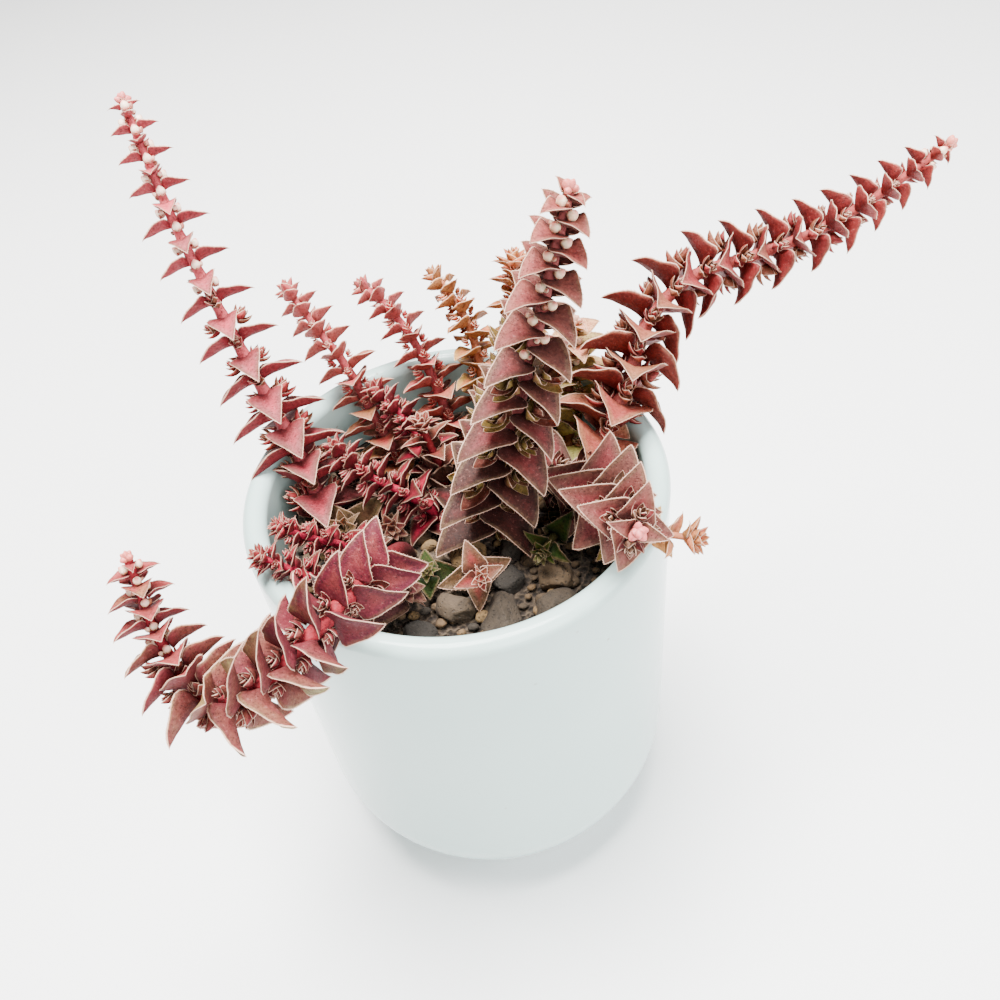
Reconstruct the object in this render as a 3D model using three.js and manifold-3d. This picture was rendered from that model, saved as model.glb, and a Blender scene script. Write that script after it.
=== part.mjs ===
// A red crassula in a white glazed pot: the pot, the potting soil, a layer of gravel and the
// leafy stems that stand in them. Millimetres, +Z up, origin at the middle of the pot's foot.
import * as THREE from "three";
import { mergeVertices } from "three/addons/utils/BufferGeometryUtils.js";
import Module from "manifold-3d";

const wasm = await Module();
wasm.setup();

// Driving dimensions, millimetres
const POT_RADIUS = 40;
const POT_HEIGHT = 97;
const POT_WALL = 4.6;
const POT_HEEL = 24; // radius of the rounded edge between wall and foot
const POT_FLOOR = 7;
const POT_FACETS = 36;
const GAP = 0.3; // clearance between pieces that touch
const SOIL_TOP = 80;
const GRIT_THICKNESS = 2.4;
const STEM_FOOT = 72; // height of the stems' lower ends, in the soil
const HOLE_GAP = GAP * Math.SQRT2; // at the corners of a stem
const HOLE_REACH = 20; // length of stem that has soil or gravel round it
const PEBBLE_SIZE = [7, 10];
const PEBBLE_COUNT = 34;

const STEM_STEP = 4; // length of one straight stretch of bare stem
const LEAF_THICKNESS = 1.5;
const LEAF_FOLD = 0.13; // how far each leaf edge is raised, as a share of the leaf's width
// Stations from the stem to the tip, with the leaf's width and depth there as shares of its own.
const LARGE_LEAF = [
  { share: 0.16, width: 1, depth: 1 },
  { share: 0.6, width: 0.62, depth: 0.8 },
  { share: 1, width: 0, depth: 0 },
];
const SMALL_LEAF = [
  { share: 0.25, width: 1, depth: 1 },
  { share: 1, width: 0, depth: 0 },
];
const SMALL_LEAF_LENGTH = 6.5;
const ROOT_SHARE = 0.5; // height of a leaf's root, as a share of the way to the next pair
const BUD_RADIUS = 1;
const TUFT_REACH = 2.2; // length of the young shoot that sits in a lower leaf's axil
const SLIVER = 0.04; // joins leave no edge shorter than this

const COLOURS = {
  glaze: 0xe9edf0,
  soil: 0x2c231c,
  gravel: 0x8d8372,
  red: 0xa34a4f,
  mauve: 0x8a5a57,
  wine: 0x8c2f45,
  salmon: 0x9c5148,
  orange: 0xb8683f,
  olive: 0x7d7a3a,
  pink: 0xb23a4c,
};

// Each leafy stem: its route from the soil up, its pairs of leaves, and what changes along it.
// A list of three holds the value at the foot, half way up and at the tip. Droop is what the
// leaves of each of the four rows lean back beyond that.
const STEMS = [
  {
    name: "stem_centre_tall",
    colour: COLOURS.mauve,
    route: [[5, -2, 83], [8, -5, 100], [14.3, -7, 122], [19, -8, 140], [23.3, -8, 156]],
    pairs: 23,
    from: 4,
    gap: [4.6, 3.6, 1.7],
    leaf: [14, 9, 4.0],
    lean: [80, 74, 56],
    curl: 42,
    broad: 0.86,
    turn: 33,
    droop: [0, -10, -26, 0],
    radius: [1.9, 1.5, 0.8],
    budsFrom: 11,
  },
  {
    name: "stem_left_tall",
    colour: COLOURS.red,
    route: [[-27, 5, 84], [-29, 10, 97], [-36, 21, 116], [-43, 33, 134], [-47, 43, 146], [-50, 51, 153]],
    pairs: 26,
    from: 4,
    gap: [3.2, 4, 2.1],
    leaf: [11.5, 7.2, 3.4],
    lean: [84, 88, 66],
    curl: 22,
    broad: 0.88,
    turn: 16,
    droop: [26, 0, 0, 0],
    radius: [1.8, 1.4, 0.8],
    budsFrom: 13,
  },
  {
    name: "stem_right_long",
    colour: COLOURS.salmon,
    route: [
      [22, 4, 84],
      [29, 7, 95],
      [35, 11, 104],
      [40, 18, 112],
      [49, 22, 118],
      [61, 22, 121],
      [73, 23, 124],
      [86, 27, 128],
      [98, 31, 133],
    ],
    pairs: 28,
    from: 17,
    gap: [3.6, 3.3, 2.4],
    leaf: [11.5, 8.2, 3.4],
    lean: [82, 86, 66],
    curl: 30,
    broad: 0.95,
    turn: -20,
    droop: [0, 14, 0, 0],
    radius: [1.9, 1.5, 0.8],
    budsFrom: 25,
  },
  {
    name: "stem_front_left",
    colour: COLOURS.wine,
    route: [
      [-11, -6, 84],
      [-13, -15, 94],
      [-17, -27, 101],
      [-23, -35, 102],
      [-32, -41, 98],
      [-40, -42, 96],
      [-45, -38, 98],
      [-49, -32, 103],
      [-50, -28, 109],
      [-50, -26, 115],
    ],
    pairs: 28,
    from: 24,
    gap: [3, 2.9, 2.2],
    leaf: [8.5, 10.8, 3.2],
    lean: [80, 84, 58],
    curl: 34,
    broad: 0.82,
    turn: 75,
    droop: [8, 8, 0, 0],
    radius: [2, 1.6, 0.8],
    budsFrom: 19,
  },
  {
    name: "stem_front_right",
    colour: COLOURS.mauve,
    route: [[17, 7, 84], [20.5, 1.5, 90], [26, -12, 99], [27, -23, 106], [28, -33, 112]],
    pairs: 12,
    from: 5,
    gap: [3.8, 3.2, 1.6],
    leaf: [11, 10.5, 6.5],
    lean: [70, 66, 50],
    curl: 32,
    broad: 0.98,
    turn: -8,
    radius: [1.9, 1.5, 0.8],
    budsFrom: 11,
  },
  {
    name: "stem_rear_right",
    colour: COLOURS.olive,
    route: [[24, 18, 83], [25, 21, 98], [27, 21, 113]],
    pairs: 11,
    from: 3,
    gap: [3.4, 3.2, 2],
    leaf: [10.5, 10, 4.6],
    lean: [70, 68, 50],
    curl: 30,
    broad: 1.0,
    turn: 30,
    radius: [1.5, 1.2, 0.7],
    budsFrom: 6,
  },
  {
    name: "stem_rear_left",
    colour: COLOURS.red,
    route: [[-12, 20, 83], [-15, 23, 94], [-19, 28, 104], [-23, 33, 109], [-29, 42, 115]],
    pairs: 16,
    from: 3,
    gap: [3.2, 2.8, 1.5],
    leaf: [8.6, 5.8, 3.4],
    lean: [74, 74, 56],
    curl: 24,
    broad: 1.2,
    turn: 10,
    radius: [1.4, 1.2, 0.8],
    budsFrom: 13,
  },
  {
    name: "stem_rear_middle",
    colour: COLOURS.red,
    route: [[0, 19, 83], [-1, 25, 94], [-5, 32, 105], [-10, 38, 111], [-14, 42, 113]],
    pairs: 15,
    from: 3,
    gap: [3.2, 2.8, 1.5],
    leaf: [8.6, 5.8, 3.4],
    lean: [74, 74, 56],
    curl: 24,
    broad: 1.2,
    turn: 20,
    radius: [1.4, 1.2, 0.8],
    budsFrom: 11,
  },
  {
    name: "stem_rear_orange",
    colour: COLOURS.orange,
    route: [[9, 19, 83], [8, 23, 95], [7, 29, 107], [4, 34, 113], [1, 38, 116]],
    pairs: 15,
    from: 3,
    gap: [3.2, 2.8, 1.5],
    leaf: [8.6, 5.8, 3.4],
    lean: [74, 74, 56],
    curl: 28,
    broad: 1.25,
    turn: 40,
    radius: [1.4, 1.2, 0.8],
    budsFrom: 12,
  },
  {
    name: "stem_behind_centre",
    colour: COLOURS.orange,
    route: [[15, 20, 83], [15, 24, 97], [16, 29, 110], [17, 33, 120]],
    pairs: 14,
    from: 4,
    gap: [3.4, 3, 1.3],
    leaf: [8, 6.4, 4.4],
    lean: [74, 74, 54],
    curl: 28,
    broad: 1.15,
    turn: 0,
    radius: [1.3, 1.1, 0.6],
    budsFrom: 14,
  },
  {
    name: "shoot_inner_left",
    colour: COLOURS.pink,
    route: [[-4, 2, 83], [-9, 2, 91], [-16, 4, 96], [-22, 9, 100]],
    pairs: 14,
    from: 3,
    gap: [2.6, 2.1, 1.3],
    leaf: [8, 5.6, 3.8],
    lean: [66, 64, 48],
    curl: 30,
    broad: 0.95,
    turn: 45,
    radius: [1.3, 1, 0.6],
    budsFrom: 14,
  },
  {
    name: "shoot_inner_rear",
    colour: COLOURS.pink,
    route: [[-3, 13, 83], [-6, 15, 93], [-9, 18, 98], [-14, 22, 102]],
    pairs: 12,
    from: 3,
    gap: [2.6, 2.2, 1.4],
    leaf: [8, 5.6, 3.8],
    lean: [66, 64, 48],
    curl: 30,
    broad: 0.95,
    turn: 0,
    radius: [1.2, 1, 0.6],
    budsFrom: 12,
  },
  {
    name: "shoot_left_upper",
    colour: COLOURS.pink,
    route: [[-17, -7, 83], [-21, -8, 90], [-27, -9, 95], [-32, -9, 99]],
    pairs: 11,
    from: 3,
    gap: [2.6, 2.1, 1.3],
    leaf: [7, 4.8, 3.2],
    lean: [66, 64, 48],
    curl: 30,
    broad: 0.9,
    turn: 0,
    radius: [1.1, 0.9, 0.6],
    budsFrom: 11,
  },
  {
    name: "shoot_left_lower",
    colour: COLOURS.pink,
    route: [[-20, -15, 83], [-24, -17, 91], [-29, -18, 97], [-34, -18, 102]],
    pairs: 11,
    from: 3,
    gap: [2.6, 2.1, 1.3],
    leaf: [7, 4.8, 3.2],
    lean: [66, 64, 48],
    curl: 30,
    broad: 0.9,
    turn: 45,
    radius: [1.1, 0.9, 0.6],
    budsFrom: 11,
  },
  {
    name: "shoot_centre_left",
    colour: COLOURS.wine,
    route: [[-2, 7, 83], [-3, 8, 93], [-5, 10, 102]],
    pairs: 7,
    from: 3,
    gap: [2.8, 2.8, 2],
    leaf: [11, 8.5, 3.8],
    lean: [66, 62, 48],
    curl: 30,
    broad: 0.8,
    turn: 20,
    radius: [1.3, 1.1, 0.7],
    budsFrom: 8,
  },
  {
    name: "shoot_front_middle",
    colour: COLOURS.wine,
    route: [[1, -13, 83], [2, -17, 88], [3, -23, 94]],
    pairs: 5,
    from: 3,
    gap: [2.6, 2.4, 1.6],
    leaf: [7.5, 6.5, 2.4],
    lean: [70, 66, 48],
    curl: 35,
    broad: 0.78,
    turn: 20,
    radius: [1.2, 1, 0.6],
    budsFrom: 6,
  },
  {
    name: "shoot_front_green",
    colour: COLOURS.olive,
    route: [[-7, -12, 83], [-7, -14, 86], [-7, -16, 90]],
    pairs: 4,
    from: 2,
    gap: [1.8, 1.8, 1.4],
    leaf: [6.5, 5.5, 2.4],
    lean: [70, 66, 48],
    curl: 35,
    broad: 0.78,
    turn: 0,
    radius: [1.1, 0.9, 0.6],
    budsFrom: 5,
  },
  {
    name: "shoot_under_right",
    colour: COLOURS.olive,
    route: [[19, -4, 83], [18, -9, 88], [14, -17, 91]],
    pairs: 6,
    from: 3,
    gap: [2.6, 2.4, 1.6],
    leaf: [9, 8, 3],
    lean: [60, 56, 44],
    curl: 35,
    broad: 0.78,
    turn: 45,
    radius: [1.3, 1.1, 0.7],
    budsFrom: 7,
  },
  {
    name: "shoot_over_right_rim",
    colour: COLOURS.orange,
    route: [[25, -9, 83], [28, -17, 94], [32, -25, 102], [38, -29, 104]],
    pairs: 7,
    from: 10,
    gap: [3, 2.2, 1.3],
    leaf: [6, 5.8, 4],
    lean: [64, 62, 48],
    curl: 30,
    broad: 0.78,
    turn: 45,
    radius: [1.2, 1, 0.6],
    budsFrom: 8,
  },
  {
    name: "shoot_low_left",
    colour: COLOURS.olive,
    route: [[-20, 1, 83], [-21, -1, 87], [-22, -4, 91]],
    pairs: 4,
    from: 3,
    gap: [2.4, 2.4, 2],
    leaf: [10, 8.5, 4],
    lean: [62, 56, 44],
    curl: 50,
    broad: 0.85,
    turn: 30,
    radius: [1.4, 1.1, 0.7],
    budsFrom: 5,
  },
  {
    name: "shoot_low_middle",
    colour: COLOURS.wine,
    route: [[-14, 0, 83], [-14, -2, 87], [-13, -5, 90]],
    pairs: 4,
    from: 3,
    gap: [2.4, 2.4, 2],
    leaf: [9, 8, 3.5],
    lean: [60, 54, 40],
    curl: 50,
    broad: 0.85,
    turn: 60,
    radius: [1.4, 1.1, 0.7],
    budsFrom: 5,
  },
  {
    name: "shoot_low_front",
    colour: COLOURS.mauve,
    route: [[-13, -15, 83], [-12, -17, 86], [-11, -19, 89]],
    pairs: 3,
    from: 3,
    gap: [2.2, 2.2, 1.8],
    leaf: [12, 9, 4.5],
    lean: [62, 54, 40],
    curl: 45,
    broad: 0.7,
    turn: 55,
    radius: [1.3, 1.1, 0.7],
    budsFrom: 4,
  },
  {
    name: "shoot_low_rear",
    colour: COLOURS.mauve,
    route: [[-20, 13, 83], [-21, 14, 88], [-22, 16, 92]],
    pairs: 4,
    from: 3,
    gap: [2.6, 2.6, 2],
    leaf: [10.5, 9, 4],
    lean: [62, 56, 44],
    curl: 45,
    broad: 0.85,
    turn: 10,
    radius: [1.4, 1.1, 0.7],
    budsFrom: 5,
  },
];

const NO_DROOP = [0, 0, 0, 0];
const GOLDEN_ANGLE = Math.PI * (3 - Math.sqrt(5));

// A repeatable random number between 0 and 1 for each whole number.
function draw(seed) {
  const wave = Math.sin(seed * 127.1 + 311.7) * 43758.5453;
  return wave - Math.floor(wave);
}

// The value at the share v of the way along, from values at the foot, the middle and the tip.
function along([foot, middle, tip], v) {
  const half = Math.min(v, 1) * 2;
  if (half < 1) return foot + (middle - foot) * half;
  return middle + (tip - middle) * (half - 1);
}

function toSolid(geometry) {
  const plain = geometry.clone();
  plain.deleteAttribute("normal");
  plain.deleteAttribute("uv");
  const merged = mergeVertices(plain, 1e-4);
  return new wasm.Manifold(
    new wasm.Mesh({
      numProp: 3,
      vertProperties: new Float32Array(merged.attributes.position.array),
      triVerts: new Uint32Array(merged.index.array),
    }),
  );
}

function toGeometry(solid) {
  const mesh = solid.getMesh();
  const geometry = new THREE.BufferGeometry();
  const stride = mesh.numProp;
  const positions = new Float32Array(mesh.numVert * 3);
  for (let i = 0; i < mesh.numVert; i++) {
    positions.set(mesh.vertProperties.subarray(i * stride, i * stride + 3), i * 3);
  }
  geometry.setAttribute("position", new THREE.BufferAttribute(positions, 3));
  geometry.setIndex(new THREE.BufferAttribute(mesh.triVerts, 1));
  geometry.computeVertexNormals();
  return geometry;
}

// Faces between two rings of four points, or from a ring to the single point that ends it.
function joinRings(faces, low, high) {
  for (let i = 0; i < low.length; i++) {
    const next = (i + 1) % low.length;
    if (high.length === 1) {
      faces.push(low[i], low[next], high[0]);
    } else {
      faces.push(low[i], low[next], high[i]);
      faces.push(low[next], high[next], high[i]);
    }
  }
}

// A skin that grows by rings of points; it is closed once both of its ends are.
class Skin {
  positions = [];
  faces = [];

  ring(points) {
    return points.map((point) => {
      this.positions.push(point.x, point.y, point.z);
      return this.positions.length / 3 - 1;
    });
  }

  // Raises rings one after another from a ring of the skin.
  raise(root, rings) {
    let last = root;
    for (const points of rings) {
      const next = this.ring(points);
      joinRings(this.faces, last, next);
      last = next;
    }
    return last;
  }

  cap([a, b, c, d]) {
    this.faces.push(a, b, c, a, c, d);
  }

  geometry() {
    const geometry = new THREE.BufferGeometry();
    geometry.setAttribute("position", new THREE.Float32BufferAttribute(this.positions, 3));
    geometry.setIndex(this.faces);
    return geometry;
  }
}

// The same rings as a closed solid of their own.
function closedSolid(root, rings) {
  const skin = new Skin();
  const first = skin.ring(root);
  skin.cap([...first].reverse());
  const last = skin.raise(first, rings);
  if (last.length === 4) skin.cap(last);
  return toSolid(skin.geometry());
}

// The centre line of a stem with a frame that doesn't spin: along, out and across at each length.
function stemLine(stem) {
  const curve = new THREE.CatmullRomCurve3(
    [new THREE.Vector3(stem.route[0][0], stem.route[0][1], STEM_FOOT)].concat(
      stem.route.map((p) => new THREE.Vector3(...p)),
    ),
    false,
    "catmullrom",
    0.5,
  );
  curve.arcLengthDivisions = 400;
  const length = curve.getLength();
  const steps = Math.ceil(length);
  const frames = [];
  let out = new THREE.Vector3(0, -1, 0);
  for (let i = 0; i <= steps; i++) {
    const forward = curve.getTangentAt(i / steps);
    out = out.clone().addScaledVector(forward, -out.dot(forward)).normalize();
    frames.push({ point: curve.getPointAt(i / steps), forward, out });
  }
  return {
    length,
    at(distance) {
      const place = Math.min(Math.max((distance / length) * steps, 0), steps - 1e-6);
      const low = frames[Math.floor(place)];
      const high = frames[Math.floor(place) + 1];
      const share = place - Math.floor(place);
      return {
        point: low.point.clone().lerp(high.point, share),
        forward: low.forward.clone().lerp(high.forward, share).normalize(),
        out: low.out.clone().lerp(high.out, share).normalize(),
      };
    },
  };
}

// The four corners of a stem's section. Side k faces the row of leaves at k quarter turns.
function stemRing(stem, line, distance, extra = 0) {
  const { point, forward, out } = line.at(distance);
  const across = new THREE.Vector3().crossVectors(forward, out);
  const radius = along(stem.radius, distance / line.length) + extra;
  return [0, 1, 2, 3].map((corner) => {
    const angle = THREE.MathUtils.degToRad(stem.turn + corner * 90 + 45);
    return point
      .clone()
      .addScaledVector(out, radius * Math.cos(angle))
      .addScaledVector(across, radius * Math.sin(angle));
  });
}

function bareStem(stem, line, extra, end) {
  const count = Math.ceil(end / STEM_STEP);
  const rings = Array.from({ length: count }, (_, i) =>
    stemRing(stem, line, ((i + 1) / count) * end, extra),
  );
  return closedSolid(stemRing(stem, line, 0, extra), rings);
}

// The rings of one keeled, channelled leaf that curls back towards its pointed tip.
function leafRings(place, turn, leaf, fit) {
  const out = place.out.clone().applyAxisAngle(place.forward, turn + fit.swing);
  const side = new THREE.Vector3().crossVectors(place.forward, out);
  const spine = place.point.clone().addScaledVector(out, leaf.root);
  const rings = [];
  let last = 0;
  for (const { share, width, depth } of leaf.length > SMALL_LEAF_LENGTH ? LARGE_LEAF : SMALL_LEAF) {
    const bend = fit.bend * (leaf.lean + leaf.curl * share);
    const run = out.clone().multiplyScalar(Math.sin(bend)).addScaledVector(place.forward, Math.cos(bend));
    const top = out.clone().multiplyScalar(-Math.cos(bend)).addScaledVector(place.forward, Math.sin(bend));
    spine.addScaledVector(run, (share - last) * leaf.length * fit.shrink);
    last = share;
    const half = (width * leaf.width) / 2;
    const edge = (sign) =>
      spine.clone().addScaledVector(side, sign * half).addScaledVector(top, 2 * half * LEAF_FOLD);
    const groove = spine.clone().addScaledVector(top, 0.1);
    const keel = spine.clone().addScaledVector(top, -depth * leaf.thickness);
    rings.push(half === 0 ? [spine.clone()] : [keel, edge(1), groove, edge(-1)]);
  }
  return rings;
}

// Where the pairs sit: the foot and head of the band of stem that each pair grows from.
function pairPlaces(stem, line) {
  const gaps = Array.from({ length: stem.pairs }, (_, i) => along(stem.gap, i / (stem.pairs - 1)));
  const total = gaps.reduce((sum, gap) => sum + gap, 0);
  const foot = SOIL_TOP - STEM_FOOT + stem.from;
  const room = line.length - foot;
  let walked = 0;
  return gaps.map((gap, i) => {
    const low = foot + (walked / total) * room;
    walked += gap;
    const step = (gap / total) * room;
    return { index: i, low, high: low + step * ROOT_SHARE, step, share: i / (stem.pairs - 1) };
  });
}

// How a leaf gives way to what is beside it: bent up, shortened, or swung round the stem.
const TRIES = [
  { bend: 1, shrink: 1, swing: 0 },
  { bend: 0.85, shrink: 1, swing: 0 },
  { bend: 1, shrink: 1, swing: 0.35 },
  { bend: 1, shrink: 1, swing: -0.35 },
  { bend: 0.7, shrink: 1, swing: 0 },
  { bend: 0.85, shrink: 0.8, swing: 0 },
  { bend: 0.7, shrink: 0.8, swing: 0.35 },
  { bend: 0.7, shrink: 0.8, swing: -0.35 },
  { bend: 0.5, shrink: 0.8, swing: 0 },
  { bend: 0.5, shrink: 0.6, swing: 0 },
  { bend: 0.35, shrink: 0.5, swing: 0 },
];

function boxesMeet(a, b) {
  for (let i = 0; i < 3; i++) {
    if (a.min[i] > b.max[i] + GAP || b.min[i] > a.max[i] + GAP) return false;
  }
  return true;
}

function isClear(solid, obstacles) {
  const box = solid.boundingBox();
  return obstacles.every(
    (obstacle) => !boxesMeet(box, obstacle.boundingBox()) || obstacle.minGap(solid, GAP) >= GAP * 0.9,
  );
}

function crossesOwn(solid, ownLeaves) {
  const box = solid.boundingBox();
  return ownLeaves.some(
    (other) => boxesMeet(box, other.boundingBox()) && other.intersect(solid).volume() > 1e-4,
  );
}

// The first way for this leaf that touches nothing, or none.
function settledLeaf(root, place, turn, leaf, obstacles, ownLeaves) {
  for (const fit of TRIES) {
    const rings = leafRings(place, turn, leaf, fit);
    const solid = closedSolid(root, rings);
    if (!isClear(solid, obstacles) || crossesOwn(solid, ownLeaves)) continue;
    ownLeaves.push(solid);
    return rings;
  }
  return null;
}

// A flower bud, or lower down a young shoot, in the axil above a leaf.
function axilRings(place, turn, isBud, radius, step) {
  const out = place.out.clone().applyAxisAngle(place.forward, turn);
  const side = new THREE.Vector3().crossVectors(place.forward, out);
  const size = Math.min(BUD_RADIUS, step * 0.45);
  const at = (reach, rise) =>
    place.point.clone().addScaledVector(out, radius * 0.7 + reach).addScaledVector(place.forward, rise);
  if (!isBud) return [[at(Math.min(TUFT_REACH, step * 0.8), step * 0.2)]];
  const middle = at(size, 0);
  return [
    [
      middle.clone().addScaledVector(place.forward, -size * 0.6),
      middle.clone().addScaledVector(side, size),
      middle.clone().addScaledVector(place.forward, size),
      middle.clone().addScaledVector(side, -size),
    ],
    [at(size * 2, 0)],
  ];
}

// Side k of the stem between two of its rings, as the ring that a leaf or a bud grows from.
function sideRing(low, high, k) {
  return [low[(k + 3) % 4], low[k], high[k], high[(k + 3) % 4]];
}

// One skin for stem, leaves, buds and young shoots: each grows out of a side of the stem.
function leafyStem(stem, line, obstacles) {
  const skin = new Skin();
  const ownLeaves = [];
  const pairs = pairPlaces(stem, line);
  const bareCount = Math.ceil(pairs[0].low / STEM_STEP);
  let low = skin.ring(stemRing(stem, line, 0));
  skin.cap([...low].reverse());
  for (let i = 1; i <= bareCount; i++) {
    low = skin.raise(low, [stemRing(stem, line, (i / bareCount) * pairs[0].low)]);
  }
  const corner = (index) => new THREE.Vector3().fromArray(skin.positions, index * 3);
  for (const { index, low: foot, high: head, step, share } of pairs) {
    const radius = along(stem.radius, share);
    const length = along(stem.leaf, share);
    const leaf = {
      length,
      width: length * stem.broad,
      thickness: Math.max(0.7, LEAF_THICKNESS * Math.min(1, length / 9)),
      curl: THREE.MathUtils.degToRad(stem.curl),
      root: radius * 0.7,
    };
    const middle = line.at((foot + head) / 2);
    const axil = line.at(head + (step * (1 - ROOT_SHARE)) / 2);
    const high = skin.ring(stemRing(stem, line, head));
    const isTop = index === stem.pairs - 1;
    const top = isTop ? [] : skin.ring(stemRing(stem, line, foot + step));
    for (const side of [0, 1, 2, 3]) {
      const turn = THREE.MathUtils.degToRad(stem.turn + side * 90);
      const droop = (stem.droop ?? NO_DROOP)[side];
      leaf.lean = THREE.MathUtils.degToRad(along(stem.lean, share) + droop);
      const root = sideRing(low, high, side);
      const isLeafSide = side % 2 === index % 2;
      const rings =
        isLeafSide && settledLeaf(root.map(corner), middle, turn, leaf, obstacles, ownLeaves);
      if (rings) skin.raise(root, rings);
      else skin.cap(root);
      if (isTop) continue;
      const upper = sideRing(high, top, side);
      const growth = isLeafSide && axilRings(axil, turn, index >= stem.budsFrom, radius, step);
      if (growth && isClear(closedSolid(upper.map(corner), growth), obstacles)) skin.raise(upper, growth);
      else skin.cap(upper);
    }
    if (isTop) skin.raise(high, [[line.at(line.length).point]]);
    low = top;
  }
  return toSolid(skin.geometry());
}

function arc(radius, x, y, from, to, steps) {
  return Array.from({ length: steps + 1 }, (_, i) => {
    const angle = THREE.MathUtils.degToRad(from + ((to - from) * i) / steps);
    return new THREE.Vector2(x + radius * Math.cos(angle), y + radius * Math.sin(angle));
  });
}

function turned(profile) {
  return new THREE.LatheGeometry(profile, POT_FACETS).rotateX(Math.PI / 2);
}

const innerRadius = POT_RADIUS - POT_WALL;
const innerHeel = POT_HEEL - POT_WALL;

function potGeometry() {
  const lip = POT_WALL / 2;
  return turned([
    new THREE.Vector2(0, 0),
    ...arc(POT_HEEL, POT_RADIUS - POT_HEEL, POT_HEEL, -90, 0, 5),
    ...arc(lip, POT_RADIUS - lip, POT_HEIGHT - lip, 0, 180, 4),
    ...arc(innerHeel, innerRadius - innerHeel, POT_FLOOR + innerHeel, 0, -90, 3),
    new THREE.Vector2(0, POT_FLOOR),
  ]);
}

function soilGeometry() {
  const radius = innerRadius - GAP;
  const heel = innerHeel - GAP;
  return turned([
    new THREE.Vector2(0, POT_FLOOR + GAP),
    ...arc(heel, radius - heel, POT_FLOOR + GAP + heel, -90, 0, 3),
    new THREE.Vector2(radius, SOIL_TOP - 0.01),
    new THREE.Vector2(radius - 0.01, SOIL_TOP),
    new THREE.Vector2(0, SOIL_TOP),
  ]);
}

function gravelSolid() {
  const low = SOIL_TOP + GAP;
  const radius = innerRadius - GAP;
  const grit = new THREE.CylinderGeometry(radius, radius, GRIT_THICKNESS, POT_FACETS)
    .rotateX(Math.PI / 2)
    .translate(0, 0, low + GRIT_THICKNESS / 2);
  const pieces = [toSolid(grit)];
  for (let i = 0; i < PEBBLE_COUNT; i++) {
    const size = PEBBLE_SIZE[0] + (PEBBLE_SIZE[1] - PEBBLE_SIZE[0]) * draw(i + 40);
    const distance = (radius - size * 0.6) * Math.sqrt((i + 0.5) / PEBBLE_COUNT);
    const x = distance * Math.cos(i * GOLDEN_ANGLE);
    const y = distance * Math.sin(i * GOLDEN_ANGLE);
    const crowded = STEMS.some(({ route }) => Math.hypot(route[0][0] - x, route[0][1] - y) < size * 0.6);
    if (crowded) continue;
    const pebble = new THREE.IcosahedronGeometry(size / 2)
      .scale(1, 0.72 + 0.2 * draw(i + 80), 0.55 + 0.15 * draw(i + 120))
      .rotateZ(draw(i + 160) * 2 * Math.PI)
      .translate(x, y, low + GRIT_THICKNESS + size * 0.1);
    pieces.push(toSolid(pebble));
  }
  return wasm.Manifold.union(pieces);
}

function meshOf(name, geometry, colour, roughness) {
  const material = new THREE.MeshStandardMaterial({ color: colour, roughness, metalness: 0 });
  const mesh = new THREE.Mesh(geometry, material);
  mesh.name = name;
  return mesh;
}

const plant = new THREE.Group();
plant.name = "potted_crassula";

const lines = STEMS.map(stemLine);
const bareStems = STEMS.map((stem, i) => bareStem(stem, lines[i], 0, lines[i].length));
const holes = wasm.Manifold.union(STEMS.map((stem, i) => bareStem(stem, lines[i], HOLE_GAP, HOLE_REACH)));
const pot = toSolid(potGeometry());
const soil = toSolid(soilGeometry()).subtract(holes).simplify(SLIVER);
const gravel = gravelSolid().subtract(holes).simplify(SLIVER);

plant.add(meshOf("pot", toGeometry(pot), COLOURS.glaze, 0.15));
plant.add(meshOf("soil", toGeometry(soil), COLOURS.soil, 0.95));
plant.add(meshOf("gravel", toGeometry(gravel), COLOURS.gravel, 0.85));

const finished = [];
STEMS.forEach((stem, i) => {
  const others = bareStems.filter((_, j) => j > i);
  const solid = leafyStem(stem, lines[i], [pot, gravel, ...finished, ...others]);
  finished.push(solid);
  plant.add(meshOf(stem.name, toGeometry(solid), stem.colour, 0.5));
});

export default plant;
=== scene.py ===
"""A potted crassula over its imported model: the pot, the gravel and soil in it, and its leafy stems."""

import math
from types import SimpleNamespace

import bmesh
import bpy
import numpy as np
from mathutils import Matrix, Vector, noise
from mathutils.kdtree import KDTree


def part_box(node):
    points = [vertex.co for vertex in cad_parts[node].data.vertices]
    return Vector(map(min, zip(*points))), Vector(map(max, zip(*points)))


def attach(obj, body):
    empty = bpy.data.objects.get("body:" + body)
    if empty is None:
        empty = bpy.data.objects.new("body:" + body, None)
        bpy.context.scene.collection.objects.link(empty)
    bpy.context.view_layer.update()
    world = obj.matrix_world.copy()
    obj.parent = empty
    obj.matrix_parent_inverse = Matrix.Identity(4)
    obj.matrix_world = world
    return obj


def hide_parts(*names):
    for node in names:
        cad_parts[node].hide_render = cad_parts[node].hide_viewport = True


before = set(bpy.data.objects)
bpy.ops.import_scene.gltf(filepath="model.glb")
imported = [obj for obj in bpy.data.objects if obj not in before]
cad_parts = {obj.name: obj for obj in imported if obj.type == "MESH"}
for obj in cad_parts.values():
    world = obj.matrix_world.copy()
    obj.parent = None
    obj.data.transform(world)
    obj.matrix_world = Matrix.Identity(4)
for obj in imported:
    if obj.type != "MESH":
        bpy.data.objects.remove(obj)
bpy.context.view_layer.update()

# The camera stands in front of the pot and well above it, and is held a little askew.
# Its place, tilt and roll come from the rim's ellipse and the lean of the pot's wall.
MM = 0.001
CAMERA_PLACE = Vector((7.996, -126.76, 220.527)) * MM
CAMERA_DOWN = math.radians(46.13)
CAMERA_ROLL = math.radians(-7.85)

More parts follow.
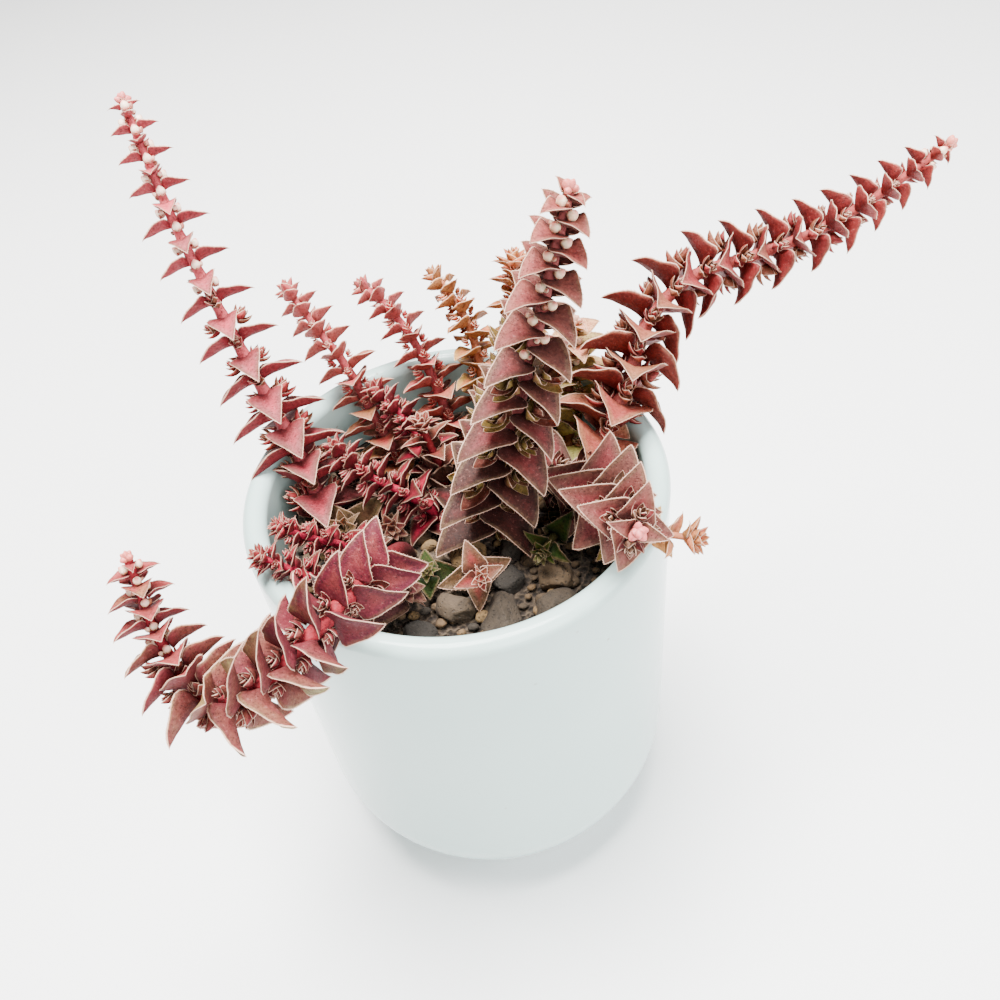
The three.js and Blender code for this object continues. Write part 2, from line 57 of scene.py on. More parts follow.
lens = bpy.data.cameras.new("camera")
lens.lens = 34.2
lens.sensor_width = 36
lens.clip_start = 5 * MM
camera = bpy.data.objects.new("camera", lens)
camera.matrix_world = (
    Matrix.Translation(CAMERA_PLACE)
    @ Matrix.Rotation(math.pi / 2 - CAMERA_DOWN, 4, "X")
    @ Matrix.Rotation(CAMERA_ROLL, 4, "Z")
)
bpy.context.scene.collection.objects.link(camera)
bpy.context.scene.camera = camera


# Soft studio light: a strong lamp almost overhead, and weaker ones to the right and in front. The
# room around them is pale and dim. Nothing here is part of the object.
def hang_lamp(name, place, size, power, colour):
    light = bpy.data.lights.new(name, "AREA")
    light.size = size
    light.energy = power
    light.color = colour
    lamp = bpy.data.objects.new(name, light)
    lamp.location = place
    aim = Vector((0, 0, 80 * MM)) - lamp.location
    lamp.rotation_euler = aim.to_track_quat("-Z", "Y").to_euler()
    bpy.context.scene.collection.objects.link(lamp)


hang_lamp("lamp_key", (-0.05, 0.08, 0.85), 0.45, 43.0, (1, 0.985, 0.96))
hang_lamp("lamp_side", (0.6, -0.2, 0.5), 0.35, 4.0, (0.94, 0.97, 1))
hang_lamp("lamp_front", (0.3, -0.62, 0.5), 0.5, 9.0, (1, 1, 1))

world = bpy.data.worlds.new("room")
world.use_nodes = True
room_glow = world.node_tree.nodes["Background"].inputs
room_glow["Color"].default_value = (0.95, 0.975, 1, 1)
room_glow["Strength"].default_value = 0.07
bpy.context.scene.world = world


# A finish is one material being mixed. Sums on a wire add the Math nodes for them, and every other
# node comes from add. It starts with the floor: a plain pale sheet under the pot.
class Wire:
    def __init__(self, finish, socket):
        self.finish = finish
        self.socket = socket

    def sum(self, operation, first, second):
        return self.finish.add("ShaderNodeMath", {"operation": operation}, {0: first, 1: second})

    def __add__(self, other):
        return self.sum("ADD", self, other)

    def __sub__(self, other):
        return self.sum("SUBTRACT", self, other)

    def __rsub__(self, other):
        return self.sum("SUBTRACT", other, self)

    def __mul__(self, other):
        return self.sum("MULTIPLY", self, other)

    __radd__ = __add__
    __rmul__ = __mul__


class Finish:
    def __init__(self, name, **uniform):
        self.material = bpy.data.materials.new(name)
        self.material.use_nodes = True
        self.tree = self.material.node_tree
        self.shader = self.tree.nodes["Principled BSDF"]
        for socket, value in uniform.items():
            self.shader.inputs[socket.replace("_", " ")].default_value = value

    def add(self, kind, settings, sockets, out=0):
        node = self.tree.nodes.new(kind)
        for setting, value in settings.items():
            if setting == "stops":
                self.set_stops(node.color_ramp, value)
            else:
                setattr(node, setting, value)
        for key, value in sockets.items():
            self.feed(node.inputs[key], value)
        return Wire(self, node.outputs[out])

    def feed(self, socket, value):
        if isinstance(value, Wire):
            self.tree.links.new(value.socket, socket)
        else:
            socket.default_value = value

    def set_stops(self, ramp, stops):
        while len(ramp.elements) < len(stops):
            ramp.elements.new(0.5)
        for element, (place, colour) in zip(ramp.elements, stops):
            element.position = place
            element.color = (*colour, 1)

    def mix(self, factor, first, second, blend="MIX"):
        """A Mix node takes colours at its sockets 6 and 7, and gives one at its output 2."""
        first, second = (c if isinstance(c, Wire) else (*c, 1) for c in (first, second))
        settings = {"data_type": "RGBA", "blend_type": blend}
        return self.add("ShaderNodeMix", settings, {0: factor, 6: first, 7: second}, 2)

    def ramp(self, value, *stops):
        return self.add("ShaderNodeValToRGB", {"stops": stops}, {"Fac": value}, "Color")

    def between(self, value, low, high):
        """0 below low, 1 above high, and smooth between them."""
        sockets = {"Value": value, "From Min": low, "From Max": high}
        return self.add("ShaderNodeMapRange", {"interpolation_type": "SMOOTHSTEP"}, sockets)

    def place(self):
        return self.add("ShaderNodeTexCoord", {}, {}, "Object")

    def grain(self, size, detail=2.0, roughness=0.5):
        """Noise between 0 and 1 with spots of about that size, in metres."""
        sockets = {"Vector": self.place(), "Scale": 1 / size, "Detail": detail, "Roughness": roughness}
        return self.add("ShaderNodeTexNoise", {}, sockets)

    def cells(self, size):
        """How far each point is from the middle of its cell, in cells of about that size."""
        return self.add("ShaderNodeTexVoronoi", {}, {"Vector": self.place(), "Scale": 1 / size}, "Distance")

    def mark(self, name):
        """What the mesh's own points hold under that name."""
        return self.add("ShaderNodeAttribute", {"attribute_name": name}, {}, "Fac")

    def bump(self, height, strength, distance):
        sockets = {"Height": height, "Strength": strength, "Distance": distance}
        return self.add("ShaderNodeBump", {}, sockets)

    def use(self, **links):
        for socket, wire in links.items():
            self.feed(self.shader.inputs[socket.replace("_", " ")], wire)
        return self.material


def colour(red, green, blue):
    """A screen's colour, from 0 to 255, as the linear values that the shader takes."""
    shares = [value / 255 for value in (red, green, blue)]
    return tuple(s / 12.92 if s <= 0.04045 else ((s + 0.055) / 1.055) ** 2.4 for s in shares)


def make_piece(name, points, faces, material):
    mesh = bpy.data.meshes.new(name)
    mesh.from_pydata(points, [], faces)
    mesh.materials.append(material)
    piece = bpy.data.objects.new(name, mesh)
    bpy.context.scene.collection.objects.link(piece)
    return piece


paper = Finish("floor_paper", Roughness=0.8)
floor_tone = paper.mix(paper.grain(0.3), colour(244, 245, 246), colour(247, 248, 249))
floor_corners = [(-2, -2, 0), (2, -2, 0), (2, 2, 0), (-2, 2, 0)]
floor = make_piece("floor", floor_corners, [(0, 1, 2, 3)], paper.use(Base_Color=floor_tone))


# The pot is one turned piece of white stoneware under a glossy white glaze. Wall, heel and lip are
# one smooth skin. The flat foot that it stood on in the kiln is bare and a little rough.
POT_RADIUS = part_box("pot")[1].x
POT_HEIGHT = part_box("pot")[1].z
POT_WALL = 4.6 * MM
POT_HEEL = 24 * MM
POT_FOOT_RING = 8 * MM
POT_FLOOR = 7 * MM
POT_SIDES = 192


def arc(radius, centre, start, end, steps):
    turns = [math.radians(start + (end - start) * i / steps) for i in range(steps + 1)]
    return [(centre[0] + radius * math.cos(t), centre[1] + radius * math.sin(t)) for t in turns]


def turned(name, profile, sides, material):
    """The skin of a profile, from axis to axis, turned round the upright axis."""
    points = [(0, 0, profile[0][1])]
    faces = []
    rings = profile[1:-1]
    for radius, height in rings:
        circle = arc(radius, (0, 0), 0, 360, sides)[:-1]
        points += [(x, y, height) for x, y in circle]
    points.append((0, 0, profile[-1][1]))
    last = len(points) - 1
    for side in range(sides):
        after = (side + 1) % sides
        faces.append((0, 1 + after, 1 + side))
        for ring in range(len(rings) - 1):
            low = 1 + ring * sides
            faces.append((low + side, low + after, low + sides + after, low + sides + side))
        faces.append((last, last - sides + side, last - sides + after))
    piece = make_piece(name, points, faces, material)
    piece.data.shade_smooth()
    return piece


pot_lip = POT_WALL / 2
pot_inner_heel = POT_HEEL - POT_WALL
pot_inside = POT_RADIUS - POT_WALL
pot_profile = [(0, 0), (POT_FOOT_RING, 0)]
pot_profile += arc(POT_HEEL, (POT_RADIUS - POT_HEEL, POT_HEEL), -90, 0, 28)
pot_profile += [(POT_RADIUS, POT_HEIGHT * share) for share in (0.4, 0.55, 0.7, 0.82, 0.92)]
pot_profile += arc(pot_lip, (POT_RADIUS - pot_lip, POT_HEIGHT - pot_lip), 0, 180, 20)
pot_profile += [(pot_inside, POT_HEIGHT * share) for share in (0.9, 0.75, 0.5)]
pot_profile += arc(pot_inner_heel, (pot_inside - pot_inner_heel, POT_FLOOR + pot_inner_heel), 0, -90, 12)
pot_profile += [(0, POT_FLOOR)]

glaze = Finish("white_glaze", Coat_Roughness=0.05, IOR=1.45, Specular_IOR_Level=0.25)
glaze_height = glaze.add("ShaderNodeSeparateXYZ", {}, {"Vector": glaze.place()}, "Z")
speckled_part = glaze.between(glaze.grain(26 * MM), 0.52, 0.6)
glaze_specks = glaze.between(glaze.cells(5 * MM), 0.075, 0.05) * speckled_part
glaze_tone = glaze.mix(glaze.grain(30 * MM, 3), colour(168, 193, 189), colour(178, 200, 196))
glaze_tone = glaze.mix(glaze_specks * 0.55, glaze_tone, colour(120, 108, 92))
bare_foot = glaze.between(glaze_height, 0.9 * MM, 0.3 * MM)
glaze_tone = glaze.mix(bare_foot, glaze_tone, colour(214, 203, 186))
glaze_waves = glaze.grain(16 * MM, 1) + glaze.grain(5 * MM, 1) * 0.12 - glaze_specks * 0.4
glaze.use(
    Base_Color=glaze_tone,
    Roughness=0.14 + bare_foot * 0.6 + glaze_specks * 0.3,
    Coat_Weight=0.12 - bare_foot * 0.12,
    Normal=glaze.bump(glaze_waves, 0.25, 0.6 * MM),
)
pot = turned("glazed_pot", pot_profile, POT_SIDES, glaze.material)
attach(pot, "root")
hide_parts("pot")


# Potting soil fills the pot to below the gravel and holds the feet of the stems. It is dark, moist
# and crumbly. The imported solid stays, with its own finish.
def crumbly(name, coarse, fine, fine_share, strength, *stops):
    """A finish of dark crumbs of two sizes."""
    earth = Finish(name, Roughness=0.95)
    crumbs = earth.cells(coarse) + earth.grain(fine, 4) * fine_share
    return earth.use(Base_Color=earth.ramp(crumbs, *stops), Normal=earth.bump(crumbs, strength, 0.8 * MM))


soil_tones = ((0.2, colour(24, 18, 14)), (0.6, colour(52, 40, 31)), (1.0, colour(92, 76, 60)))
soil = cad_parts["soil"]
soil.data.materials.clear()
soil.data.materials.append(crumbly("potting_soil", 1.6 * MM, 0.7 * MM, 0.6, 0.9, *soil_tones))


# Gravel lies loose on the soil: rough pebbles in tan, brown and near-black, and grit between them.
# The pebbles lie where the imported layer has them, and the grit is strewn by a fixed draw.
SOIL_TOP = 80
GRAVEL_LOW = 80.3
GRIT_THICKNESS = 2.4
PEBBLE_SIZES = (7, 10)
PEBBLE_COUNT = 34
GRIT_COUNT = 420
BED_SIDES = 96
GOLDEN_ANGLE = math.pi * (3 - math.sqrt(5))
gravel_radius = pot_inside / MM - 0.3


def draw(seed):
    """A repeatable random number between 0 and 1 for each seed."""
    wave = math.sin(seed * 127.1 + 311.7) * 43758.5453
    return wave - math.floor(wave)


class Bundle:
    """Points and faces gathered for one piece, with what its finish needs to know at each point."""

    def __init__(self, **usual):
        self.points = []
        self.faces = []
        self.usual = usual
        self.marks = {}
        self.count = 0

    def put(self, points, faces, **marks):
        points = np.asarray(points, float)
        self.faces += [tuple(corner + self.count for corner in face) for face in faces]
        self.points.append(points)
        for name, value in {**self.usual, **marks}.items():
            self.marks.setdefault(name, []).append(np.broadcast_to(value, len(points)))
        self.count += len(points)

    def piece(self, name, material):
        points = np.concatenate(self.points) * MM
        made = make_piece(name, points.tolist(), self.faces, material)
        for mark, values in self.marks.items():
            attribute = made.data.attributes.new(mark, "FLOAT", "POINT")
            attribute.data.foreach_set("value", np.concatenate(values).astype(np.float32))
        solid = bmesh.new()
        solid.from_mesh(made.data)
        bmesh.ops.recalc_face_normals(solid, faces=solid.faces)
        solid.to_mesh(made.data)
        solid.free()
        made.data.shade_smooth()
        return made


def ball(fineness):
    solid = bmesh.new()
    bmesh.ops.create_icosphere(solid, subdivisions=fineness, radius=1)
    points = np.array([v.co for v in solid.verts])
    faces = [tuple(v.index for v in face.verts) for face in solid.faces]
    solid.free()
    return points, faces


def stone(seed, fineness):
    """A ball with a few sides knocked flat and a rough skin."""
    points, faces = ball(fineness)
    for cut in range(7):
        across = np.array([draw(seed + cut * 3 + k) - 0.5 for k in range(3)])
        across /= np.linalg.norm(across)
        reach = points @ across
        limit = 0.62 + 0.25 * draw(seed + cut * 5 + 0.5)
        points -= np.outer(np.maximum(reach - limit, 0), across)
    rough = [noise.fractal(Vector(p) * 2.2 + Vector((seed, 0, 0)), 0.9, 2.1, 4) for p in points]
    return points * (1 + 0.07 * np.array(rough))[:, None], faces


def strewn(i, count, size, step):
    """Where one of so many stones lies, strewn evenly over the round of the pot."""
    distance = (gravel_radius - size * 0.6) * math.sqrt((i + 0.5) / count)
    return distance * math.cos(i * step), distance * math.sin(i * step)


packed_pebbles = np.array([v.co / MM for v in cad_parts["gravel"].data.vertices])
packed_pebbles = packed_pebbles[packed_pebbles[:, 2] > GRAVEL_LOW + GRIT_THICKNESS + 1]
gravel_bundle = Bundle()
for i in range(PEBBLE_COUNT):
    size = PEBBLE_SIZES[0] + (PEBBLE_SIZES[1] - PEBBLE_SIZES[0]) * draw(i + 40)
    x, y = strewn(i, PEBBLE_COUNT, size, GOLDEN_ANGLE)
    if np.hypot(packed_pebbles[:, 0] - x, packed_pebbles[:, 1] - y).min() > size * 0.3:
        continue
    points, faces = stone(i * 31.7, 4)
    points *= np.array((1, 0.72 + 0.2 * draw(i + 80), 0.55 + 0.15 * draw(i + 120))) * size * 0.54
    spin = draw(i + 160) * 2 * math.pi
    turn = np.array(((math.cos(spin), math.sin(spin), 0), (-math.sin(spin), math.cos(spin), 0), (0, 0, 1)))
    points = points @ turn + np.array((x, y, GRAVEL_LOW + GRIT_THICKNESS + size * 0.1))
    gravel_bundle.put(points, faces, chance=draw(i + 7))
for i in range(GRIT_COUNT):
    size = 1.6 + 2.6 * draw(i + 900) ** 2
    x, y = strewn(i, GRIT_COUNT, size, GOLDEN_ANGLE * 1.7)
    points, faces = stone(i * 17.3 + 5, 2)
    points *= np.array((1, 0.8, 0.7)) * size * 0.5
    points += np.array((x, y, GRAVEL_LOW + GRIT_THICKNESS - 0.2 + 0.8 * draw(i + 1300)))
    gravel_bundle.put(points, faces, chance=draw(i + 2100))

rock = Finish("gravel_stone", Roughness=0.85)
# The stones' tones are darker than their own colours: partly their dark brown and grey stone, partly
# painted shade, because the gravel lies in the shadow of the stems.
pebble_tone = rock.ramp(
    rock.mark("chance"), (0, colour(38, 33, 28)), (0.3, colour(66, 54, 41)),
    (0.5, colour(90, 71, 50)), (0.72, colour(108, 83, 54)), (0.9, colour(136, 108, 70)),
)
pebble_grain = rock.grain(1.4 * MM, 6, 0.7)
pebble_pits = rock.between(rock.cells(0.8 * MM), 0.35, 0.15)
# The mottling multiplies the stones darker. It is partly their own mottled colour and partly painted shade.
pebble_mottle_and_painted_shade = rock.ramp(pebble_grain, (0.25, (0.26, 0.25, 0.24)), (0.7, (0.88, 0.87, 0.86)))
pebble_tone = rock.mix(0.85, pebble_tone, pebble_mottle_and_painted_shade, "MULTIPLY")
pebble_tone = rock.mix(pebble_pits * 0.45, pebble_tone, colour(48, 42, 36))
pebble_skin = rock.bump(pebble_grain - pebble_pits * 0.5, 0.8, 0.5 * MM)
gravel = gravel_bundle.piece("gravel_stones", rock.use(Base_Color=pebble_tone, Normal=pebble_skin))
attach(gravel, "root")
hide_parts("gravel")

bed_tones = ((0.2, colour(20, 15, 12)), (0.7, colour(48, 38, 30)), (1.0, colour(84, 70, 56)))
bed_low = (GRAVEL_LOW + 0.2) * MM
bed_high = (GRAVEL_LOW + GRIT_THICKNESS - 0.6) * MM
bed_profile = [(0, bed_low), (gravel_radius * MM, bed_low), (gravel_radius * MM, bed_high), (0, bed_high)]
bed_finish = crumbly("grit_bed", 1.1 * MM, 0.5 * MM, 0.5, 1.0, *bed_tones)
bed = turned("grit_bed", bed_profile, BED_SIDES, bed_finish)
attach(bed, "root")
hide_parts("gravel")


# The tall middle stem: a fleshy stalk with leaves in crossed pairs, grown as one. Each leaf clasps
# the stalk, is channelled above and keeled below, and has a pale margin of tiny teeth. Young
# rosettes sit in the lower axils, and egg-shaped flower buds in the upper ones.
STEM_FOOT = 72
LINE_SAMPLES = 401
ROOT_SHARE = 0.5
LEAF_THICKNESS = 1.5
LEAF_EDGE = 0.14
LEAF_TAPER = 0.84
SMALL_LEAF_LENGTH = 6.5
RECURVED_FROM = 0.72
# The ways in which packed leaves gave way to their neighbours: bend, length and swing.
LEAF_FITS = (
    (1, 1, 0), (0.85, 1, 0), (1, 1, 0.35), (1, 1, -0.35), (0.7, 1, 0), (0.85, 0.8, 0),
    (0.7, 0.8, 0.35), (0.7, 0.8, -0.35), (0.5, 0.8, 0), (0.5, 0.6, 0), (0.35, 0.5, 0),
)
CROWDED_FIT = (0.32, 0.5, 0)
FIT_TOLERANCE = 0.08
LEAF_STATIONS = np.array((0, 0.05, 0.12, 0.21, 0.31, 0.42, 0.53, 0.64, 0.75, 0.85, 0.93, 0.98, 1))
LEAF_FOOT_WIDTHS = (0.45, 0.76, 0.95, 1.03)
ABOVE = np.array((-1, -0.88, -0.6, -0.3, 0, 0.3, 0.6, 0.88, 1))
BELOW = np.array((0.85, 0.45, 0, -0.45, -0.85))
ACROSS = np.concatenate((ABOVE, BELOW))
IS_BELOW = np.repeat((0.0, 1.0), (len(ABOVE), len(BELOW)))


def stray(seed, width):
    """A draw to either side of nothing, over that width in all."""
    return width * (draw(seed) - 0.5)


def along(values, share):
    """The value at that share of the way, from the values at the foot, the middle and the tip."""
    return float(np.interp(share, (0, 0.5, 1), values))


def unit(vectors):
    return vectors / np.linalg.norm(vectors, axis=-1, keepdims=True)


def curve_points(knots, shares):
    """Points on the smooth curve through the knots."""
    ends = np.vstack((2 * knots[0] - knots[1], knots, 2 * knots[-1] - knots[-2]))
    place = np.clip(shares, 0, 1) * (len(knots) - 1)
    span = np.minimum(place.astype(int), len(knots) - 2)
    w = (place - span)[:, None]
    before, start, end, after = (ends[span + k] for k in range(4))
    run_in = (end - before) / 2
    run_out = (after - start) / 2
    bend = -3 * start + 3 * end - 2 * run_in - run_out
    return start + w * run_in + w**2 * bend + w**3 * (2 * start - 2 * end + run_in + run_out)


class StemLine:
    """The middle line of a stem, with a direction ahead and one outwards at each length."""

    def __init__(self, route):
        knots = np.array([(route[0][0], route[0][1], STEM_FOOT), *route], float)
        shares = np.linspace(0, 1, LINE_SAMPLES)
        strides = np.linalg.norm(np.diff(curve_points(knots, shares), axis=0), axis=1)
        walked = np.append(0, np.cumsum(strides))
        self.length = walked[-1]
        self.steps = math.ceil(self.length)
        spots = np.interp(np.linspace(0, self.length, self.steps + 1), walked, shares)
        forward = unit(curve_points(knots, spots + 1e-4) - curve_points(knots, spots - 1e-4))
        out = np.array((0.0, -1.0, 0.0))
        outs = []
        for ahead in forward:
            out = unit(out - ahead * (out @ ahead))
            outs.append(out)
        self.places = np.stack((curve_points(knots, spots), forward, outs), axis=1)

    def at(self, distance):
        place = min(max(distance / self.length * self.steps, 0), self.steps - 1e-6)
        low = int(place)
        w = place - low
        point, forward, out = self.places[low] * (1 - w) + self.places[low + 1] * w
        return point, unit(forward), unit(out)


def swung(place, turn):
    """The outward and sideways directions of what grows at that turn round the stem."""
    _, forward, out = place
    side = np.cross(forward, out)
    out = out * math.cos(turn) + side * math.sin(turn)
    return out, np.cross(forward, out)


def spine(start, out, forward, angles, strides):
    """A line from start at those angles from the stem, with its runs and its upper sides."""
    runs = np.outer(np.sin(angles), out) + np.outer(np.cos(angles), forward)
    tops = np.outer(-np.cos(angles), out) + np.outer(np.sin(angles), forward)
    return start + np.cumsum(runs * strides[:, None], axis=0), runs, tops


def packed_bends(leaf, bend):
    """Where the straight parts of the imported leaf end, and their angles from the stem."""
    ends = np.array((0.16, 0.6, 1) if leaf.length > SMALL_LEAF_LENGTH else (0.25, 1))
    return ends, bend * (leaf.lean + leaf.curl * ends)


def packed_tip(place, turn, leaf, fit):
    """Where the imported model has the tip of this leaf, if it settled with this fit."""
    bend, shrink, swing = fit
    out, _ = swung(place, turn + swing)
    ends, angles = packed_bends(leaf, bend)
    strides = np.diff(ends, prepend=0) * leaf.length * shrink
    points, _, _ = spine(place[0] + out * leaf.root, out, place[1], angles, strides)
    return points[-1]


def lofted(rings, tip):
    """The closed skin over rings of points that end in a tip."""
    count, around = rings.shape[:2]
    faces = [tuple(range(around))]
    for low in range(0, (count - 1) * around, around):
        for i in range(around):
            after = (i + 1) % around
            faces.append((low + i, low + after, low + around + after, low + around + i))
    last = (count - 1) * around
    faces += [(last + i, last + (i + 1) % around, count * around) for i in range(around)]
    return np.vstack((rings.reshape(-1, 3), tip)), faces


def put_skin(bundle, rings, tip, shares, rim, under, tip_under, seed, **marks):
    """A leaf's skin, whose points know how far they are from its margin and from its foot."""
    skin, faces = lofted(rings[:-1], tip)
    rim = np.append(rim[:-1], 0)
    under = np.append(np.tile(under, len(rings) - 1), tip_under)
    reach = np.append(np.repeat(shares[:-1], rings.shape[1]), 1)
    bundle.put(skin, faces, rim=rim, under=under, reach=reach, chance=draw(seed + 7), **marks)


def put_leaf(bundle, place, turn, leaf, fit, seed, **marks):
    """One full-size leaf, shaped finely over its packed one."""
    bend, shrink, swing = fit
    out, side = swung(place, turn + swing + stray(seed, 0.1))
    shares = LEAF_STATIONS
    ends, packed = packed_bends(leaf, bend)
    angles = np.interp(shares, ends - np.diff(ends, prepend=0) / 2, packed) + stray(seed + 1, 0.12)
    angles += leaf.recurve * np.clip(shares - RECURVED_FROM, 0, 1) ** 2 * 12
    length = leaf.length * leaf.cut * shrink * (0.98 + stray(seed + 2, 0.1))
    strides = np.diff(shares, prepend=0) * length
    strides[0] = leaf.root * 0.4
    points, runs, tops = spine(place[0] + out * leaf.root * 0.6, out, place[1], angles, strides)
    widths = np.interp(shares, shares[:4], LEAF_FOOT_WIDTHS)
    widths *= (1 - np.clip((shares - 0.1) / 0.9, 0, 1)) ** LEAF_TAPER
    half = leaf.width / 2 * widths * (0.97 + stray(seed + 3, 0.1)) * max(shrink, 0.75)
    twist = stray(seed + 4, 0.35) * shares
    sides = np.outer(np.cos(twist), side) + tops * np.sin(twist)[:, None]
    tops = tops * np.cos(twist)[:, None] - np.outer(np.sin(twist), side)
    wave = 0.03 * np.sin(shares * (9 + 5 * draw(seed + 5)) + 6 * draw(seed + 6))
    depth = leaf.thickness * np.interp(shares, (0, 0.16, 0.6, 1), (1.15, 1, 0.78, 0.2))
    v = ACROSS[None, :]
    h = half[:, None]
    fold = 2 * h * leaf.fold * np.abs(v) ** 1.35 + h * wave[:, None] * v * 2
    belly = (LEAF_EDGE + (depth[:, None] - LEAF_EDGE) * (1 - v**2) ** 1.2) * np.minimum(1, h / 0.8)
    rise = fold - belly * IS_BELOW
    rings = points[:, None] + sides[:, None] * (h * v)[..., None] + tops[:, None] * rise[..., None]
    rim = (1 - np.abs(v)) * h * max(1, 8.5 / leaf.length)
    put_skin(bundle, rings, points[-1], shares, rim, IS_BELOW, 0.3, seed, **marks)
    return rings, runs, sides, length


SKIN_POINTS = len(LEAF_STATIONS) * len(ABOVE)


def tree_of(points):
    """The points, each under its number, ready for a quick search of the nearest."""
    tree = KDTree(len(points))
    for i, point in enumerate(points):
        tree.insert(point, i)
    tree.balance()
    return tree


def pricks(skins, owner, point, room):
    """Whether the point lies in or close to a leaf that isn't its owner."""
    return any(near[1] // SKIN_POINTS != owner for near in skins.find_range(point, room))


TEETH_PER_MM = 1.9
TOOTH_LENGTH = 0.19
TOOTH_LEAN = 0.1
TOOTH_HALF_WIDTH = 0.07
TOOTH_SINK = 0.05
TOOTH_FACES = [(0, 1, 2), (0, 3, 1), (1, 3, 2), (2, 3, 0)]
TOOTH_ROOM = 0.6


def put_teeth(bundle, skins, owner, rings, runs, sides, length, **marks):
    """The row of tiny teeth along each margin of a leaf, but none that would prick another leaf."""
    for edge, sign in ((0, -1), (len(ABOVE) - 1, 1)):
        line = rings[1:, edge]
        for step in np.linspace(0.3, len(line) - 1.2, int(length * TEETH_PER_MM)):
            low = int(step)
            root = line[low] + (line[low + 1] - line[low]) * (step - low)
            if pricks(skins, owner, root, TOOTH_ROOM):
                continue
            out = sides[low + 1] * sign
            run = runs[low + 1]
            foot = root - out * TOOTH_SINK
            tooth = (
                foot - run * TOOTH_HALF_WIDTH,
                foot + run * TOOTH_HALF_WIDTH,
                foot + np.cross(run, out) * TOOTH_HALF_WIDTH,
                root + out * TOOTH_LENGTH + run * TOOTH_LEAN,
            )
            bundle.put(tooth, TOOTH_FACES, **marks)


YOUNG_ACROSS = np.array((-1, -0.55, 0, 0.55, 1, 0))
YOUNG_RISE = np.array((0.35, 0.1, 0, 0.1, 0.35, -0.5))
YOUNG_IS_BELOW = (0, 0, 0, 0, 0, 1)
YOUNG_STATIONS = np.array((0, 0.18, 0.4, 0.62, 0.82, 0.94, 1))
YOUNG_WIDTHS = 0.34 * np.array((0.85, 1, 0.9, 0.68, 0.4, 0.16, 0))
YOUNG_ROOM = 0.75


def put_young_leaf(bundle, place, turn, length, lean, curl, seed, skins=None, owner=0, **marks):
    """One narrow leaf of a young rosette, unless it would prick one of the large leaves."""
    out, side = swung(place, turn + stray(seed, 0.3))
    angles = lean + curl * YOUNG_STATIONS**1.3
    strides = np.diff(YOUNG_STATIONS, prepend=0) * length
    points, _, tops = spine(place[0], out, place[1], angles, strides)
    if skins and any(pricks(skins, owner, point, YOUNG_ROOM) for point in points[3:]):
        return
    half = length * YOUNG_WIDTHS
    across = np.outer(half, YOUNG_ACROSS)[..., None] * side
    rise = np.outer(np.maximum(half, 0.05), YOUNG_RISE)[..., None] * tops[:, None]
    rings = points[:, None] + across + rise
    rim = np.outer(half, 1 - np.abs(YOUNG_ACROSS)) * 1.5
    put_skin(bundle, rings, points[-1], YOUNG_STATIONS, rim, YOUNG_IS_BELOW, 0, seed, **marks)


def put_rosette(bundle, place, turn, length, pairs, seed, **marks):
    """A young rosette that leans out of the axil above a leaf, its leaves curving inwards."""
    out, _ = swung(place, turn)
    lean = 0.8 + stray(seed, 0.3)
    ahead = out * math.sin(lean) + place[1] * math.cos(lean)
    across = place[1] * math.sin(lean) - out * math.cos(lean)
    for pair in range(pairs):
        share = pair / (pairs - 1)
        spot = (place[0] + ahead * (0.1 + 0.12 * pair) * length, ahead, across)
        for half in (0, 1):
            quarter = math.pi * (half + pair % 2 / 2) + 0.5 * draw(seed + 2)
            own_length = length * (1 - 0.5 * share) * (0.85 + 0.3 * draw(seed + pair + half))
            own_seed = seed + pair * 11 + half * 5
            own_lean = 1.45 - 0.6 * share
            put_young_leaf(bundle, spot, quarter, own_length, own_lean, -1.15, own_seed, young=1, **marks)


BALL_POINTS, BALL_FACES = ball(3)
BUD_TURN = np.arctan2(BALL_POINTS[:, 1], BALL_POINTS[:, 0])
BUD_RISE = BALL_POINTS[:, 2]
BUD_TOP = np.maximum(BUD_RISE, 0)
BUD_GIRTH = 1 - 0.14 * BUD_TOP**2
EGG_POINTS = BALL_POINTS * np.stack((BUD_GIRTH, BUD_GIRTH, 1.12 + 0.26 * BUD_TOP**3), axis=1)
# A sepal's corners, ahead, outwards and across, as shares of the bud's radius.
SEPAL = np.array((
    (-0.95, 0.2, 0.3), (-0.95, 0.2, -0.3), (-0.6, 0.98, -0.42),
    (-0.6, 0.98, 0.42), (-0.05, 1.12, 0), (-0.6, 0.77, 0),
))
SEPAL_FACES = [(0, 3, 2, 1), (3, 4, 2), (0, 1, 5), (1, 2, 5), (2, 4, 5), (4, 3, 5), (3, 0, 5)]
TIP_BUDS = 7


def put_bud(bundle, centre, ahead, radius, seed, small=0, blush=0):
    """An egg-shaped bud of five folded petals, with five small sepals at its foot."""
    folds = 0.075 * np.abs(np.cos(BUD_TURN * 2.5 + 6 * draw(seed))) ** 6 * (1 - BUD_RISE**2)
    side = unit(np.cross(ahead, (0.31, 0.2, 0.93)))
    turned_up = np.array((side, np.cross(ahead, side), ahead))
    skin = centre + EGG_POINTS * (1 - folds)[:, None] @ turned_up * radius
    bundle.put(skin, BALL_FACES, petal=BUD_RISE + blush, small=small, chance=draw(seed + 1))
    for i in range(5):
        out, across = swung((centre, ahead, side), 2 * math.pi * (i + draw(seed)) / 5)
        sepal = centre + SEPAL @ np.array((ahead, out, across)) * radius
        bundle.put(sepal, SEPAL_FACES, sepal=1, small=small, chance=draw(seed + 1))


